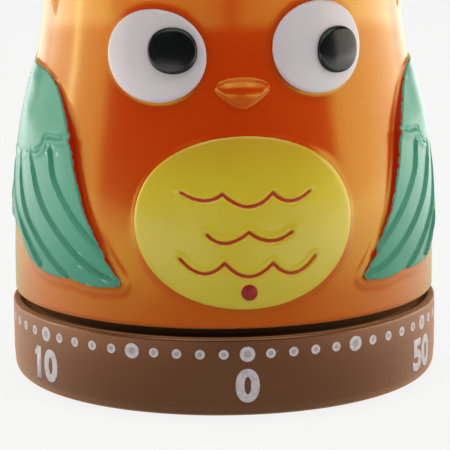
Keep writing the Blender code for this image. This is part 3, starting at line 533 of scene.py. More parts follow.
def plastic(name, colour, shade, roughness, waves=0.6, grain=0.08, bump=0.00008, scuffs=0.5, specks=0.4,
            glow=0.0, gloss=0.5):
    """A moulded plastic: toned colour, uneven gloss, soft waves and fine grain."""
    material, tree, shader, place = new_material(name)
    wear = use_group(tree, handled, {"Vector": place, "Scuffs": scuffs, "Specks": specks})
    tone = spread(tree, noise(tree, place, 38.0, 3.0), 0.3, 0.7)
    base = mix_colour(tree, tone, colour, shade)
    base = mix_colour(tree, wear.outputs["Speck Mask"], base, DUST)
    tree.links.new(base, shader.inputs["Base Color"])
    rough = maths(tree, "ADD", maths(tree, "MULTIPLY", wear.outputs["Scuff Mask"], 0.16), roughness)
    rough = maths(tree, "ADD", maths(tree, "MULTIPLY", wear.outputs["Speck Mask"], 0.25), rough)
    tree.links.new(rough, shader.inputs["Roughness"])
    skin = use_group(tree, moulded_skin, {"Vector": place, "Waves": waves, "Grain": grain})
    bumpy(tree, shader, skin.outputs["Height"], bump)
    shader.inputs["Specular IOR Level"].default_value = gloss
    if glow:
        shader.inputs["Subsurface Weight"].default_value = glow
        shader.inputs["Subsurface Radius"].default_value = GLOW_RADIUS
        shader.inputs["Subsurface Scale"].default_value = GLOW_DEPTH
    return material


hub_plastic = plastic("hub_ivory_plastic", linear(214, 206, 190), linear(203, 194, 176), 0.42, grain=0.2)
cover_plastic = plastic("cover_black_plastic", linear(40, 37, 36), linear(31, 29, 29), 0.48, grain=0.5,
                        bump=0.00012, scuffs=1.0, specks=0.8)
rubber = plastic("foot_rubber", linear(58, 56, 54), linear(46, 45, 44), 0.72, waves=0.2, grain=0.9,
                 bump=0.0001, scuffs=0.8, specks=0.9)
print("plain plastics:", [m.name for m in (hub_plastic, cover_plastic, rubber)])


# %% [markdown]
# ## Reflections that take the plastic's colour
# The two glossy plastics reflect in their own tone: pale light comes back amber from the orange
# and copper from the brown. The specular tint gives that. Where a curved side is seen at a low
# angle, a coloured sheen lifts it. Both are plain numbers, the same all over the surface.

# %% Orange and brown
def coloured_gloss(material, tint, sheen, sheen_roughness, sheen_tint):
    """Set the reflections' colour and the sheen of a plastic, and return its shader."""
    shader = material.node_tree.nodes["Principled BSDF"]
    values = {"Specular Tint": tint, "Sheen Weight": sheen, "Sheen Roughness": sheen_roughness,
              "Sheen Tint": sheen_tint}
    for label, value in values.items():
        shader.inputs[label].default_value = value
    return shader


ORANGE_SHADE = linear(184, 41, 0)
orange_plastic = plastic("deep_orange_plastic", linear(190, 48, 0), ORANGE_SHADE, 0.2, glow=0.12,
                         scuffs=0.35, specks=0.25, gloss=1.0)
coloured_gloss(orange_plastic, (0.8, 1.0, 0.14, 1.0), 0.7, 0.38, (0.85, 1.0, 0.2, 1.0))
brown_plastic = plastic("dial_brown_plastic", linear(56, 29, 17), linear(50, 25, 15), 0.24, gloss=1.0)
brown_shader = coloured_gloss(brown_plastic, (1.0, 0.44, 0.22, 1.0), 1.0, 0.5, (1.0, 0.5, 0.24, 1.0))
brown_shader.inputs["IOR"].default_value = 1.62
print("glossy plastics:", orange_plastic.name, brown_plastic.name)

# %% [markdown]
# ## Painted shade in the channel
# Ambient occlusion finds the hidden places, such as the channel between the dial and the owl. There
# it darkens the brown's colour, which is painted shade, and raises its roughness, which dulls it.

# %% Painted shade in hollows
def grime_in_hollows(material, colour, reach=4.0 * MM):
    """Paint shade into a finish's colour, and dull it, where its surroundings are close."""
    tree = material.node_tree
    shader = tree.nodes["Principled BSDF"]
    open_air = add(tree, "ShaderNodeAmbientOcclusion", {"Distance": reach}).outputs["AO"]
    painted_shade = spread(tree, open_air, 0.35, 0.85, 1.0, 0.0)
    unshaded_colour = shader.inputs["Base Color"].links[0].from_socket
    tree.links.new(mix_colour(tree, painted_shade, unshaded_colour, colour), shader.inputs["Base Color"])
    polish = shader.inputs["Roughness"].links[0].from_socket
    tree.links.new(maths(tree, "MAXIMUM", polish, painted_shade), shader.inputs["Roughness"])


# The colour given here is the dark painted shade of the channel.
grime_in_hollows(brown_plastic, linear(14, 5, 3))
print("grime added to", brown_plastic.name)

# %% [markdown]
# ## Sprayed paint over the orange
# Wings, belly and eyes are the same orange moulding with paint sprayed on top through a mask. So
# their materials hold both: bare plastic on the steep side walls and in the engraved lines, and
# paint on top. On the wings, eyes and red dot that bare plastic is a darker red than the moulding,
# which is painted shade. Each point of these meshes carries its distance from the edge (`edge_mm`)
# and from the nearest engraved line (`groove_mm`), and the shared mask group turns those into a
# paint edge.
# Raised crests on the wings get a painted highlight: a paler teal where the pointiness of the mesh
# finds a crest. The belly's yellow turns darker and warmer towards its top, which is painted shade.

# %% A coat of paint
# Heights between which the belly's painted shade grows.
TOP_SHADE_FROM = 34.0 * MM
TOP_SHADE_FULL = 47.0 * MM
PAINT_BUMP = 0.08 * MM
# The bare orange on the walls and in the lines, darker than the moulding: painted shade.
SHADED_BARE_ORANGE = linear(172, 30, 2)


def paint_coat(name, colour, shade, start=0.1, raggedness=0.5, groove_start=None, groove_softness=0.12,
               roughness=0.3, under=SHADED_BARE_ORANGE, blotch=45.0, bare=ORANGE_SHADE, gloss=0.45, crest_highlight=None,
               thin_ink_and_top_shade=None):
    """Paint that stops short of the walls and the engraved lines, on the orange moulding."""
    material, tree, shader, place = new_material(name)
    edge = add(tree, "ShaderNodeAttribute", attribute_name="edge_mm").outputs["Fac"]
    mask = use_group(tree, ragged_paint_edge, {"Vector": place, "Distance": edge, "Start": start,
                                               "Raggedness": raggedness, "Softness": 0.06}).outputs["Mask"]
    if groove_start is not None:
        line = add(tree, "ShaderNodeAttribute", attribute_name="groove_mm").outputs["Fac"]
        in_line = {"Vector": place, "Distance": line, "Start": groove_start, "Raggedness": 0.22,
                   "Grain Size": 1100.0, "Softness": groove_softness}
        open_line = use_group(tree, ragged_paint_edge, in_line).outputs["Mask"]
        mask = maths(tree, "MULTIPLY", mask, open_line)
    wear = use_group(tree, handled, {"Vector": place, "Scuffs": 0.5, "Specks": 0.3})
    tone = spread(tree, noise(tree, place, blotch, 4.0, 0.55), 0.3, 0.7)
    paint = mix_colour(tree, tone, colour, shade)
    paint = mix_colour(tree, maths(tree, "MULTIPLY", wear.outputs["Speck Mask"], 0.5), paint, bare)
    # Painted shade: with height, the paint is mixed towards a darker, warmer colour up to the top.
    if thin_ink_and_top_shade:
        height = add(tree, "ShaderNodeSeparateXYZ", {"Vector": place}).outputs["Z"]
        paint = mix_colour(tree, spread(tree, height, TOP_SHADE_FROM, TOP_SHADE_FULL, 0.0, 0.6), paint, thin_ink_and_top_shade)
    # Painted highlight: a paler colour is mixed in where the mesh's pointiness finds a sharp crest.
    if crest_highlight:
        raised = tree.nodes.new("ShaderNodeNewGeometry").outputs["Pointiness"]
        paint = mix_colour(tree, spread(tree, raised, 0.53, 0.62, 0.0, 0.4), paint, crest_highlight)
    tree.links.new(mix_colour(tree, mask, under, paint), shader.inputs["Base Color"])
    scuffed = maths(tree, "ADD", maths(tree, "MULTIPLY", wear.outputs["Scuff Mask"], 0.14), roughness)
    rough = maths(tree, "MAXIMUM", maths(tree, "MULTIPLY", mask, scuffed), 0.22)
    tree.links.new(rough, shader.inputs["Roughness"])
    skin = use_group(tree, moulded_skin, {"Vector": place, "Wave Size": 330.0, "Waves": 0.5, "Grain": 0.14})
    film = maths(tree, "ADD", maths(tree, "MULTIPLY", mask, 0.35), skin.outputs["Height"])
    bumpy(tree, shader, film, PAINT_BUMP)
    shader.inputs["Specular IOR Level"].default_value = gloss
    return material


print("under the paint:", [round(v, 3) for v in SHADED_BARE_ORANGE[:3]])

# %% Paint finishes
# The wings' paler crest colour is a painted highlight.
teal_paint = paint_coat("teal_wing_paint", linear(76, 150, 124), linear(64, 137, 111), start=0.02,
                        raggedness=0.55, groove_start=0.1, roughness=0.26, gloss=0.2,
                        crest_highlight=linear(176, 214, 198))
# The belly's darker, warmer top colour is painted shade.
yellow_paint = paint_coat("yellow_belly_paint", linear(206, 186, 44), linear(198, 176, 36), start=-0.1,
                          raggedness=0.3, groove_start=0.27, groove_softness=0.14, roughness=0.2,
                          under=linear(184, 48, 0), thin_ink_and_top_shade=linear(172, 118, 22))
# The eye's bare wall takes an even darker red, which is painted shade.
white_paint = paint_coat("white_eye_paint", linear(192, 183, 186), linear(185, 176, 179), start=-0.02,
                         raggedness=0.3, roughness=0.26, blotch=30.0, under=linear(150, 20, 4))
black_paint = paint_coat("black_pupil_paint", linear(5, 6, 6), linear(9, 9, 9), start=-0.35, raggedness=0.5,
                         roughness=0.16, under=linear(190, 184, 186), bare=linear(60, 60, 60), gloss=0.35)
red_paint = paint_coat("red_pointer_paint", linear(152, 10, 13), linear(144, 8, 10), start=-0.4,
                       raggedness=0.3, roughness=0.28, bare=linear(150, 20, 20))
print("paints:", [m.name for m in (teal_paint, yellow_paint, white_paint, black_paint, red_paint)])

# %% [markdown]
# ## Printed ink
# The dial's marks are white pad-printed ink. A soft pad presses the ink outwards, so the middle of
# a dot is thinner and the brown shows through it. Each dot's mesh carries that as `thin_ink`, from
# 0 at its rim to 1 in its middle, and fine noise makes the cover a little uneven.

# %% Printed ink
INK_BUMP = 0.03 * MM


def printed_ink():
    """White pad-printed ink, thin at its edges and a little uneven in its cover."""
    material, tree, shader, place = new_material("white_dial_ink")
    cover = spread(tree, noise(tree, place, 1500.0, 4.0, 0.7), 0.28, 0.52)
    tone = noise(tree, place, 260.0, 2.0)
    ink = mix_colour(tree, tone, linear(214, 207, 211), linear(202, 195, 199))
    ink = mix_colour(tree, cover, linear(176, 158, 152), ink)
    thin_ink_and_top_shade = add(tree, "ShaderNodeAttribute", attribute_name="thin_ink").outputs["Fac"]
    thin_ink_and_top_shade = spread(tree, thin_ink_and_top_shade, 0.4, 0.62, 0.0, 0.6)
    tree.links.new(mix_colour(tree, thin_ink_and_top_shade, ink, linear(140, 124, 120)), shader.inputs["Base Color"])
    tree.links.new(spread(tree, tone, 0.3, 0.7, 0.36, 0.46), shader.inputs["Roughness"])
    bumpy(tree, shader, cover, INK_BUMP, 0.5)
    return material


dial_ink = printed_ink()
print("ink:", dial_ink.name)

# %% [markdown]
# ## Metal inside
# The movement hides in the base, but it is a real one, so its parts get real finishes: brass
# wheels, steel arbors, zinc plates and a polished bell. Rolled and stamped sheet shows fine
# parallel lines and faint stains. One group draws both; each metal chooses its own direction,
# depth and tarnish.

# %% Group: rolled metal
def make_rolled_metal():
    inputs = (("Vector", VECTOR, (0, 0, 0)), ("Direction", VECTOR, (0, 0, 0)), ("Lines", FLOAT, 0.5),
              ("Stains", FLOAT, 0.5))
    group, given, out = new_group("rolled_metal", inputs, (("Height", FLOAT), ("Stain Mask", FLOAT)))
    drawn_out = {"Vector": given.outputs["Vector"], "Rotation": given.outputs["Direction"],
                 "Scale": (1.0, 40.0, 1.0)}
    turned = add(group, "ShaderNodeMapping", drawn_out).outputs[0]
    lines = maths(group, "MULTIPLY", noise(group, turned, 260.0, 3.0, 0.6), given.outputs["Lines"])
    stains = spread(group, noise(group, given.outputs["Vector"], 130.0, 5.0, 0.6), 0.42, 0.7)
    group.links.new(lines, out.inputs["Height"])
    group.links.new(maths(group, "MULTIPLY", stains, given.outputs["Stains"]), out.inputs["Stain Mask"])
    return group


rolled_metal = make_rolled_metal()
print("group:", rolled_metal.name)


# %% Metal finishes
METAL_BUMP = 0.04 * MM


def metal(name, colour, tarnish, roughness, direction=(0, 0, 0), lines=0.5, stains=0.5):
    material, tree, shader, place = new_material(name)
    sheet = use_group(tree, rolled_metal, {"Vector": place, "Direction": direction, "Lines": lines,
                                           "Stains": stains})
    stained = mix_colour(tree, sheet.outputs["Stain Mask"], colour, tarnish)
    tree.links.new(stained, shader.inputs["Base Color"])
    shader.inputs["Metallic"].default_value = 1.0
    rough = maths(tree, "ADD", maths(tree, "MULTIPLY", sheet.outputs["Stain Mask"], 0.2), roughness)
    tree.links.new(rough, shader.inputs["Roughness"])
    bumpy(tree, shader, sheet.outputs["Height"], METAL_BUMP)
    return material


metals = [
    metal("wheel_brass", linear(214, 180, 104), linear(160, 122, 62), 0.26, lines=0.6),
    metal("arbor_steel", linear(188, 188, 190), linear(128, 122, 116), 0.22, (0, 0, 1.2), lines=0.4),
    metal("screw_steel", linear(198, 196, 190), linear(132, 118, 96), 0.3, lines=0.8, stains=0.8),
    metal("plate_zinc", linear(178, 182, 184), linear(140, 142, 142), 0.38, (0, 0, 0.5), lines=0.9),
    metal("bell_steel", linear(206, 204, 200), linear(150, 142, 132), 0.14, lines=0.3, stains=0.4),
    metal("blued_spring_steel", linear(96, 98, 112), linear(70, 66, 72), 0.28, (1.57, 0, 0)),
]
print("metals:", [m.name for m in metals])

# %% [markdown]
# ## The orange shells
# The body is moulded in two halves that meet along a seam at the owl's sides. Each half is a grid
# of points: columns run round the owl, rows climb from the bottom rim, up the side and over the
# head. Beak, eye sockets and the small roots under the wings and belly are part of this moulding,
# so they are added as relief before the grid is made. An inner skin two millimetres further in
# makes it a real shell with a wall.

# %% Roots of the raised areas
WING_FOOT = (0.6, 0.3)
WING_LIP = (0.2, -0.9, 0.42)
BELLY_FOOT = (1.1, 0.28)
EYE_FOOT = (0.9, 0.1)
BEAK_FOOT = (0.5, 0.06)


def foot(distance, width, height):
    """A soft root outside a raised area; distance is negative outside."""
    return height * np.clip(1.0 + distance / width, 0.0, 1.0) ** 2


def wing_roots(flat):
    """The swelling and the soft lip round both wings; the lip fades above the wing's lower part."""
    proud = np.zeros(len(flat))
    height, middle, width = WING_LIP
    for points in (flat, flat * np.array([-1.0, 1.0])):
        near = points[:, 0] < -8.0
        wing = loop_distance(points[near], wing_loop)
        lip = height * bell_curve(wing, middle, width) * smooth_step(-points[near, 1], -30.0, -24.0)
        proud[near] = np.maximum(proud[near], foot(wing, *WING_FOOT) + lip)
    return proud


print("roots stand proud by, mm:", WING_FOOT[1], BELLY_FOOT[1], EYE_FOOT[1])

# %% [markdown]
# ## Beak and head creases
# The beak is a small pillow with a pointed lower end, in the body's own plastic. Beside the head a
# crease opens upwards on each side, where the ear tufts grow out of the dome.

# %% Relief of the front shell
BEAK_MIDDLE = 51.15
BEAK_HALF_WIDTH = 4.6
BEAK_UP = 2.2
BEAK_DOWN = 2.9
BEAK_PROUD = 1.25
BEAK_WALL = 0.4
HEAD_CREASE = ((70.5, 61.2), (71.0, 63.0), (70.0, 67.0), (66.0, 73.0), (60.0, 80.0))
CREASE_OPENS = (60.5, 65.0)
SEAM_RADIUS = 30.0
SEAM_DEPTH = 0.28
SEAM_WIDTH = 0.5


def beak_pillow(flat, beak):
    rise = flat[:, 1] - BEAK_MIDDLE
    reach = (flat[:, 0] / BEAK_HALF_WIDTH) ** 2 + (rise / np.where(rise > 0.0, BEAK_UP, BEAK_DOWN)) ** 2
    wall = np.sqrt(np.clip(beak / BEAK_WALL, 0.0, 1.0))
    return np.where(beak > 0.0, BEAK_PROUD * np.clip(1.0 - reach, 0.0, 1.0) * wall, 0.0)


def crease_depth(flat, side):
    line = smooth_line(flat_from(HEAD_CREASE) * np.array([side, 1.0]), 6)
    opening = smooth_step(flat[:, 1], *CREASE_OPENS)
    return opening * np.exp(-(line_distance(flat, line) / (0.5 + 0.8 * opening)) ** 2)


def body_relief(flat):
    """How far the moulding stands proud of the plain body."""
    proud = np.maximum(wing_roots(flat), foot(loop_distance(flat, belly_loop), *BELLY_FOOT))
    for loop in eye_loops.values():
        proud = np.maximum(proud, foot(loop_distance(flat, loop), *EYE_FOOT))
    beak = loop_distance(flat, beak_loop)
    proud = np.maximum(proud, foot(beak, *BEAK_FOOT)) + beak_pillow(flat, beak)
    return proud - crease_depth(flat, -1.0) - crease_depth(flat, 1.0)


def seam_relief(azimuth):
    """The rounded edges of the two halves where they meet."""
    gap = np.radians(90.0 - np.abs(azimuth)) * SEAM_RADIUS
    return -SEAM_DEPTH * np.clip(1.0 - gap / SEAM_WIDTH, 0.0, 1.0) ** 2


print("beak middle stands proud by", round(float(body_relief(np.array([(0.0, BEAK_MIDDLE)]))[0]), 2), "mm")

# %% [markdown]
# ## The head
# Above the shoulder the shell closes as a low dome. Latitude rows climb from 0 at the shoulder to
# 90 at the crown. Two smooth bumps at the owl's sides lift the dome into ear tufts, so the ears
# are one surface with the head, as in a mould.


# %% Points of a shell half
DOME_RADIUS = SIDE_PROFILE[-1][1]
DOME_HEIGHT = 11.5
DOME_POWER = 0.85
HEAD_CROWN = SHOULDER_Z + DOME_HEIGHT
RELIEF_ENDS = 60.0
EAR_LIFT = 11.6
EAR_OUT = 1.6
EAR_LATITUDE = 32.0
EAR_HALF_WIDTH = 27.2
EAR_HALF_HEIGHT = 31.2
LATITUDE_MM = 20.0


def bump_shape(distance, width):
    share = np.minimum(np.abs(distance) / width, 1.0)
    return (1.0 - share ** 2) ** 2 * (1.0 - 0.55 * share)


def shell_grid(azimuth, heights, latitudes, inset, relief=None):
    """Rows of points up the side and over the head; x grows round the body, y forward is negative."""
    rows = []
    for height in heights:
        flat = np.stack([np.radians(azimuth) * side_radius(height), np.full(len(azimuth), height)], 1)
        rows.append((flat, np.full(len(azimuth), float(side_radius(height)) - inset), flat[:, 1], 0.0))
    for latitude in latitudes:
        along = np.full(len(azimuth), SHOULDER_Z + math.radians(latitude) * LATITUDE_MM)
        flat = np.stack([np.radians(azimuth) * DOME_RADIUS, along], 1)
        radius = (DOME_RADIUS - inset) * max(math.cos(math.radians(latitude)), 0.0) ** DOME_POWER
        height = SHOULDER_Z + (DOME_HEIGHT - inset) * math.sin(math.radians(latitude))
        lift = (bump_shape(np.abs(azimuth) - 90.0, EAR_HALF_WIDTH)
                * bump_shape(latitude - EAR_LATITUDE, EAR_HALF_HEIGHT))
        hollow = 1.0 if inset == 0.0 else 0.75
        rows.append((flat, radius + EAR_OUT * hollow * lift, height + EAR_LIFT * hollow * lift, latitude))
    proud = relief(np.concatenate([row[0] for row in rows])) if relief else None
    points = []
    for k, (flat, radius, height, latitude) in enumerate(rows):
        lean = math.radians(latitude)
        extra = 0.0 if inset else seam_relief(azimuth)
        if proud is not None:
            row_proud = proud[k * len(azimuth):(k + 1) * len(azimuth)]
            extra = extra + row_proud * (1.0 if latitude < RELIEF_ENDS else 0.0)
        reach = radius + extra * math.cos(lean)
        points.append(np.stack([reach * np.sin(np.radians(azimuth)), -reach * np.cos(np.radians(azimuth)),
                                height + extra * math.sin(lean) + np.zeros(len(azimuth))], 1))
    return np.array(points)


print("dome from", SHOULDER_Z, "to", HEAD_CROWN, "mm; ears lift it by", EAR_LIFT)

# %% [markdown]
# ## Closing a half shell
# Inner skin, bottom rim and outer skin are stacked as one long grid, so the wall comes out closed.
# The two seam faces and the crown are then filled in. The front grid is finer round the beak.

# %% Shell halves
SHELL_WALL = 2.0
SEAM_GAP = 0.08


def shell_half(name, material, step, rise, front, relief, node):
    """A closed half shell with its bottom rim, seam faces and crown."""
    azimuth = np.concatenate([[-90.0, -89.8, -89.5], np.arange(-89.0, 89.01, step), [89.5, 89.8, 90.0]])
    heights = np.concatenate([[SHELL_BOTTOM + 0.35], np.arange(SHELL_BOTTOM + 0.8, SHOULDER_Z + 0.01, rise)])
    if front:
        azimuth = np.union1d(azimuth, np.arange(-8.6, 8.61, 0.25))
        heights = np.union1d(heights, np.arange(48.0, 53.6, 0.17))
    latitudes = np.concatenate([np.arange(2.0, 84.0, 2.0 if front else 3.0), [87.0, 89.4]])
    outer = shell_grid(azimuth, heights, latitudes, 0.0, relief)
    inner = shell_grid(azimuth, heights, latitudes, SHELL_WALL)
    rim = []
    for inset, height in ((SHELL_WALL, 0.12), (SHELL_WALL - 0.2, 0.0), (0.4, 0.0), (0.12, 0.1)):
        ring = shell_grid(azimuth, [SHELL_BOTTOM], [], inset)[0]
        ring[:, 2] = SHELL_BOTTOM + height
        rim.append(ring)
    rows = np.concatenate([inner[::-1], np.array(rim), outer])
    rows[:, :, 1] = np.minimum(rows[:, :, 1], -SEAM_GAP)
    columns = len(azimuth)
    points = rows.reshape(-1, 3)
    faces = grid_faces(len(rows), columns)
    total = len(rows)
    for row in range(total // 2):
        if total - 2 - row > row:
            for side in (0, columns - 1):
                faces.append((row * columns + side, (row + 1) * columns + side,
                              (total - 2 - row) * columns + side, (total - 1 - row) * columns + side))
    top_inner = list(range(columns))
    top_outer = list(range((total - 1) * columns, total * columns))
    crown_inner = len(points)
    crown = ((0.0, -SEAM_GAP, HEAD_CROWN - SHELL_WALL), (0.0, -SEAM_GAP, HEAD_CROWN))
    points = np.vstack([points, crown])
    faces += [(a, b, crown_inner) for a, b in zip(top_inner[:-1], top_inner[1:])]
    faces += [(a, b, crown_inner + 1) for a, b in zip(top_outer[:-1], top_outer[1:])]
    faces += [(top_inner[0], crown_inner, crown_inner + 1, top_outer[0]),
              (top_inner[-1], crown_inner, crown_inner + 1, top_outer[-1])]
    if not front:
        points = points * np.array([-1.0, -1.0, 1.0])
    mesh = mesh_from(name, points, faces, smooth_angle=50.0)
    return new_object(name, mesh, material, "owl", (node,))


REAR_WING_FOOT = (1.9, 0.3)


def rear_relief(flat):
    """The rear half has only the roots of the wings; the flat picture is turned by half a turn."""
    turned = flat.copy()
    half_turn = math.pi * side_radius(np.minimum(flat[:, 1], SHOULDER_Z))
    turned[:, 0] = np.where(flat[:, 0] > 0.0, flat[:, 0] - half_turn, -flat[:, 0] - half_turn)
    return foot(loop_distance(turned, wing_loop), *REAR_WING_FOOT)


owl_front = shell_half("owl_front", orange_plastic, 0.75, 0.5, True, body_relief, "front_shell")
owl_rear = shell_half("owl_rear", orange_plastic, 1.5, 0.8, False, rear_relief, "rear_shell")
print("front shell points:", len(owl_front.data.vertices), "rear:", len(owl_rear.data.vertices))

# %% [markdown]
# ## Raised areas
# Wings, belly, eyes and pupils share one build. The outline is copied inwards as rings that follow
# rays to a centre, close together near the edge and wider apart inside. Each point then asks a
# height function how proud it stands. Below the outline, a side wall drops a little way into the
# body, and a plain underside closes the piece.

# %% Ring mesh of a raised area
EDGE_STEPS = (0.0, 0.06, 0.14, 0.25, 0.4, 0.6)
UNDER_SHARES = (0.15, 0.4, 0.6, 0.8)
WALL_SHARES = (0.0, 0.45, 0.8)
DEEP_MM = 3.0


def raised_area(name, material, node, loop, centre, height, rings, sink=0.25, floor=None,
                groove=None):
    """A closed raised patch. height(flat, inward) and floor(flat) are millimetres above the body."""
    rays = loop - centre
    lengths = np.hypot(rays[:, 0], rays[:, 1])
    along = np.roll(loop, -1, 0) - np.roll(loop, 1, 0)
    normals = np.stack([along[:, 1], -along[:, 0]], 1) / np.hypot(along[:, 0], along[:, 1])[:, None]
    slant = np.maximum(np.abs((normals * rays).sum(1)) / lengths, 0.3)
    scales = [1.0 - np.minimum(step / slant / lengths, 0.5) for step in EDGE_STEPS]
    scales += [scales[-1] * (1.0 - k / rings) for k in range(1, rings)]
    flats = [centre + rays * scale[:, None] for scale in scales]
    top = np.vstack(flats + [np.array([centre])])
    inward = loop_distance(top, loop)
    inward[:len(loop)] = 0.0
    proud = height(top, np.maximum(inward, 0.0))
    floor = floor or (lambda flat: np.zeros(len(flat)))
    base = floor(top)
    n = len(loop)
    wall_top = proud[:n]
    wall_low = base[:n] - sink
    walls = []
    wall_mm = []
    for share in WALL_SHARES:
        walls.append(on_surface(loop, wall_low + (wall_top - wall_low) * share))
        wall_mm.append(-(wall_top - wall_low) * (1.0 - share))
    under = [centre + rays * share for share in UNDER_SHARES]
    under_points = [on_surface(flat, floor(flat) - sink) for flat in under]
    points = np.vstack(under_points + walls + [on_surface(top, proud)])
    hidden_rows = len(UNDER_SHARES) + len(WALL_SHARES)
    values = {"edge_mm": np.concatenate([np.full(len(UNDER_SHARES) * n, -DEEP_MM)] + wall_mm + [inward])}
    if groove:
        values["groove_mm"] = np.concatenate([np.full(hidden_rows * n, DEEP_MM), groove(top)])
    rows = hidden_rows + len(scales)
    faces = grid_faces(rows, n, wrap=True)
    last = (rows - 1) * n
    crown = len(points) - 1
    faces += [(last + c, last + (c + 1) % n, crown) for c in range(n)]
    faces.append(tuple(range(n)))
    mesh = mesh_from(name, points, faces, values, smooth_angle=55.0)
    return new_object(name, mesh, material, "owl", (node,))


print("rings near an edge, mm in from it:", EDGE_STEPS)

# %% [markdown]
# ## Wings
# Each wing is one low relief. Its plain shoulder ends in a step, and below the step long feathers
# lie over each other like shingles. Every feather rolls up to a crest along its lower edge and
# drops into a thin groove on the next one. The relief is thickest at the step, about a millimetre
# and a half, and thins to half a millimetre at the top and at the tip.

# %% Wing relief
WING_THICKNESS = ((19.0, 0.5), (20.0, 0.6), (24.0, 0.8), (28.5, 0.95), (33.0, 1.12), (36.5, 1.27),
                  (40.0, 1.42), (44.0, 1.42), (48.0, 1.02), (50.3, 0.78), (52.6, 0.45), (54.0, 0.4))
THICKNESS_ENDS = (WING_THICKNESS[0][0], WING_THICKNESS[-1][0])
WING_EDGE_ROUND = 0.3
WING_LEAST = 0.37
THIN_BACK = (-50.0, -38.0)
STEP_FADES = (-39.5, -36.0)
FEATHERS_FADE = (-46.5, -42.0)
CREST = (0.34, -0.16, 0.24)
GROOVE = (0.24, 0.3, 0.32)
SHINGLE_DROP = 0.14
SHINGLE_REACH = 1.6
STEP_GROOVE = (0.34, 0.15, 0.36)
STEP_CREST = (0.24, -0.55, 0.5)
SEAM_LINE = (0.25, 0.0, 0.2)


def to_flat_line(pairs, per_piece=6):
    return smooth_line(flat_from(pairs), per_piece)


ridge_lines = [to_flat_line(pairs) for pairs in RIDGES]
step_line = to_flat_line(FEATHER_STEP, 5)


def rounded_edge(inward, depth, width=None):
    """What a rounded edge takes away near the outline."""
    reach = np.clip(1.0 - inward / (width or depth), 0.0, 1.0)
    return depth * (1.0 - np.sqrt(1.0 - reach ** 2))


def wobble(flat, size, seed):
    """Small hand-made unevenness, a few millimetres across."""
    x, y = flat[:, 0] / size + seed, flat[:, 1] / size
    slow = np.sin(1.7 * x + 0.6 * y + seed) * np.cos(1.1 * y - 0.7 * x)
    return (slow + 0.5 * np.sin(2.9 * y + 1.3 * x)) / 1.5


print("feather lines:", len(ridge_lines))


# %% Height of a wing
def hump(distance, shape):
    """A soft ridge; shape is its height, the place of its middle and its width."""
    height, middle, width = shape
    return height * bell_curve(distance, middle, width)


def from_seam(flat):
    """Distance round the body from the seam between the two shell halves."""
    return flat[:, 0] + math.pi / 2.0 * side_radius(flat[:, 1])


def wing_height(flat, inward):
    proud = smooth_value(WING_THICKNESS, np.clip(flat[:, 1], *THICKNESS_ENDS))
    proud *= 0.7 + 0.3 * smooth_step(flat[:, 0], *THIN_BACK)
    above = -line_distance(flat, step_line)
    clear = 0.2 + 0.8 * smooth_step(flat[:, 0], *STEP_FADES)
    below = smooth_step(-above / (0.6 + 5.0 * (1.0 - clear)), -0.6, 1.0)
    feathers = np.zeros(len(flat))
    for line in ridge_lines:
        front = line_distance(flat, line)
        feathers += hump(front, CREST) - hump(front, GROOVE)
        feathers -= SHINGLE_DROP * np.where(front > 0.0, np.exp(-front / SHINGLE_REACH), 0.0)
    shown = 0.45 + 0.55 * smooth_step(flat[:, 0], *FEATHERS_FADE)
    proud += feathers * below * shown
    proud += clear * (hump(above, STEP_CREST) - hump(above, STEP_GROOVE))
    proud -= hump(from_seam(flat), SEAM_LINE)
    proud += 0.015 * wobble(flat, 2.3, 0.4)
    return np.maximum(proud, WING_LEAST) - rounded_edge(inward, WING_EDGE_ROUND)


def wing_groove(flat):
    """How deep a point lies in a feather groove, as a distance from the nearest groove's middle."""
    gap = np.full(len(flat), DEEP_MM)
    for line in ridge_lines:
        gap = np.minimum(gap, np.abs(line_distance(flat, line) - 0.35) + 0.12)
    return np.minimum(gap, np.abs(from_seam(flat)))


print("wing height at its middle:", np.round(wing_height(flat_from([WING_CENTRE]), np.array([5.0])), 2)[0])

# %% Both wings
WING_RINGS = 84
wing_centre = flat_from([WING_CENTRE])[0]
mirror = np.array([-1.0, 1.0])
left_wing = raised_area("wing_left", teal_paint, "left_wing", wing_loop, wing_centre,
                        wing_height, WING_RINGS, groove=wing_groove)
right_wing = raised_area("wing_right", teal_paint, "right_wing", wing_loop[::-1] * mirror,
                         wing_centre * mirror, lambda flat, inward: wing_height(flat * mirror, inward),
                         WING_RINGS, groove=lambda flat: wing_groove(flat * mirror))
print("wing points:", len(left_wing.data.vertices), len(right_wing.data.vertices))

# %% [markdown]
# ## Belly
# The belly is a yellow oval with three rows of scalloped feathers engraved in it. Each scallop is
# a parabola that hangs between two cusps. The tool that cut the line pushed up a soft lip above
# it, and the paint mask left the bottom of the line bare, so it shows orange-red. Under them sits
# the red dot that points at the minutes left.

# %% Belly lines
SCALLOP_ROWS = (
    ((-9.7, 35.9), (-6.2, 34.8), (-3.5, 35.8), (0.45, 33.8), (4.15, 35.8), (6.9, 34.4), (10.0, 35.7)),
    ((-5.9, 29.6), (-3.1, 28.3), (0.4, 29.9), (3.7, 28.5), (7.0, 29.7)),
    ((-10.1, 25.9), (-6.6, 23.65), (-3.3, 25.3), (0.3, 23.1), (4.0, 25.1), (7.25, 23.35), (10.7, 25.7)),
)


def scallops(row):
    """Parabolas from cusp to cusp through each trough."""
    curve = []
    for k in range(0, len(row) - 2, 2):
        start, trough, end = (np.array(p) for p in row[k:k + 3])
        handle = 2.0 * trough - 0.5 * (start + end)
        for t in np.linspace(0.0, 1.0, 9)[:-1]:
            curve.append((1 - t) ** 2 * start + 2 * t * (1 - t) * handle + t ** 2 * end)
    curve.append(np.array(row[-1]))
    return np.array(curve)


scallop_lines = [scallops(row) for row in SCALLOP_ROWS]
print("scallop rows:", len(scallop_lines))

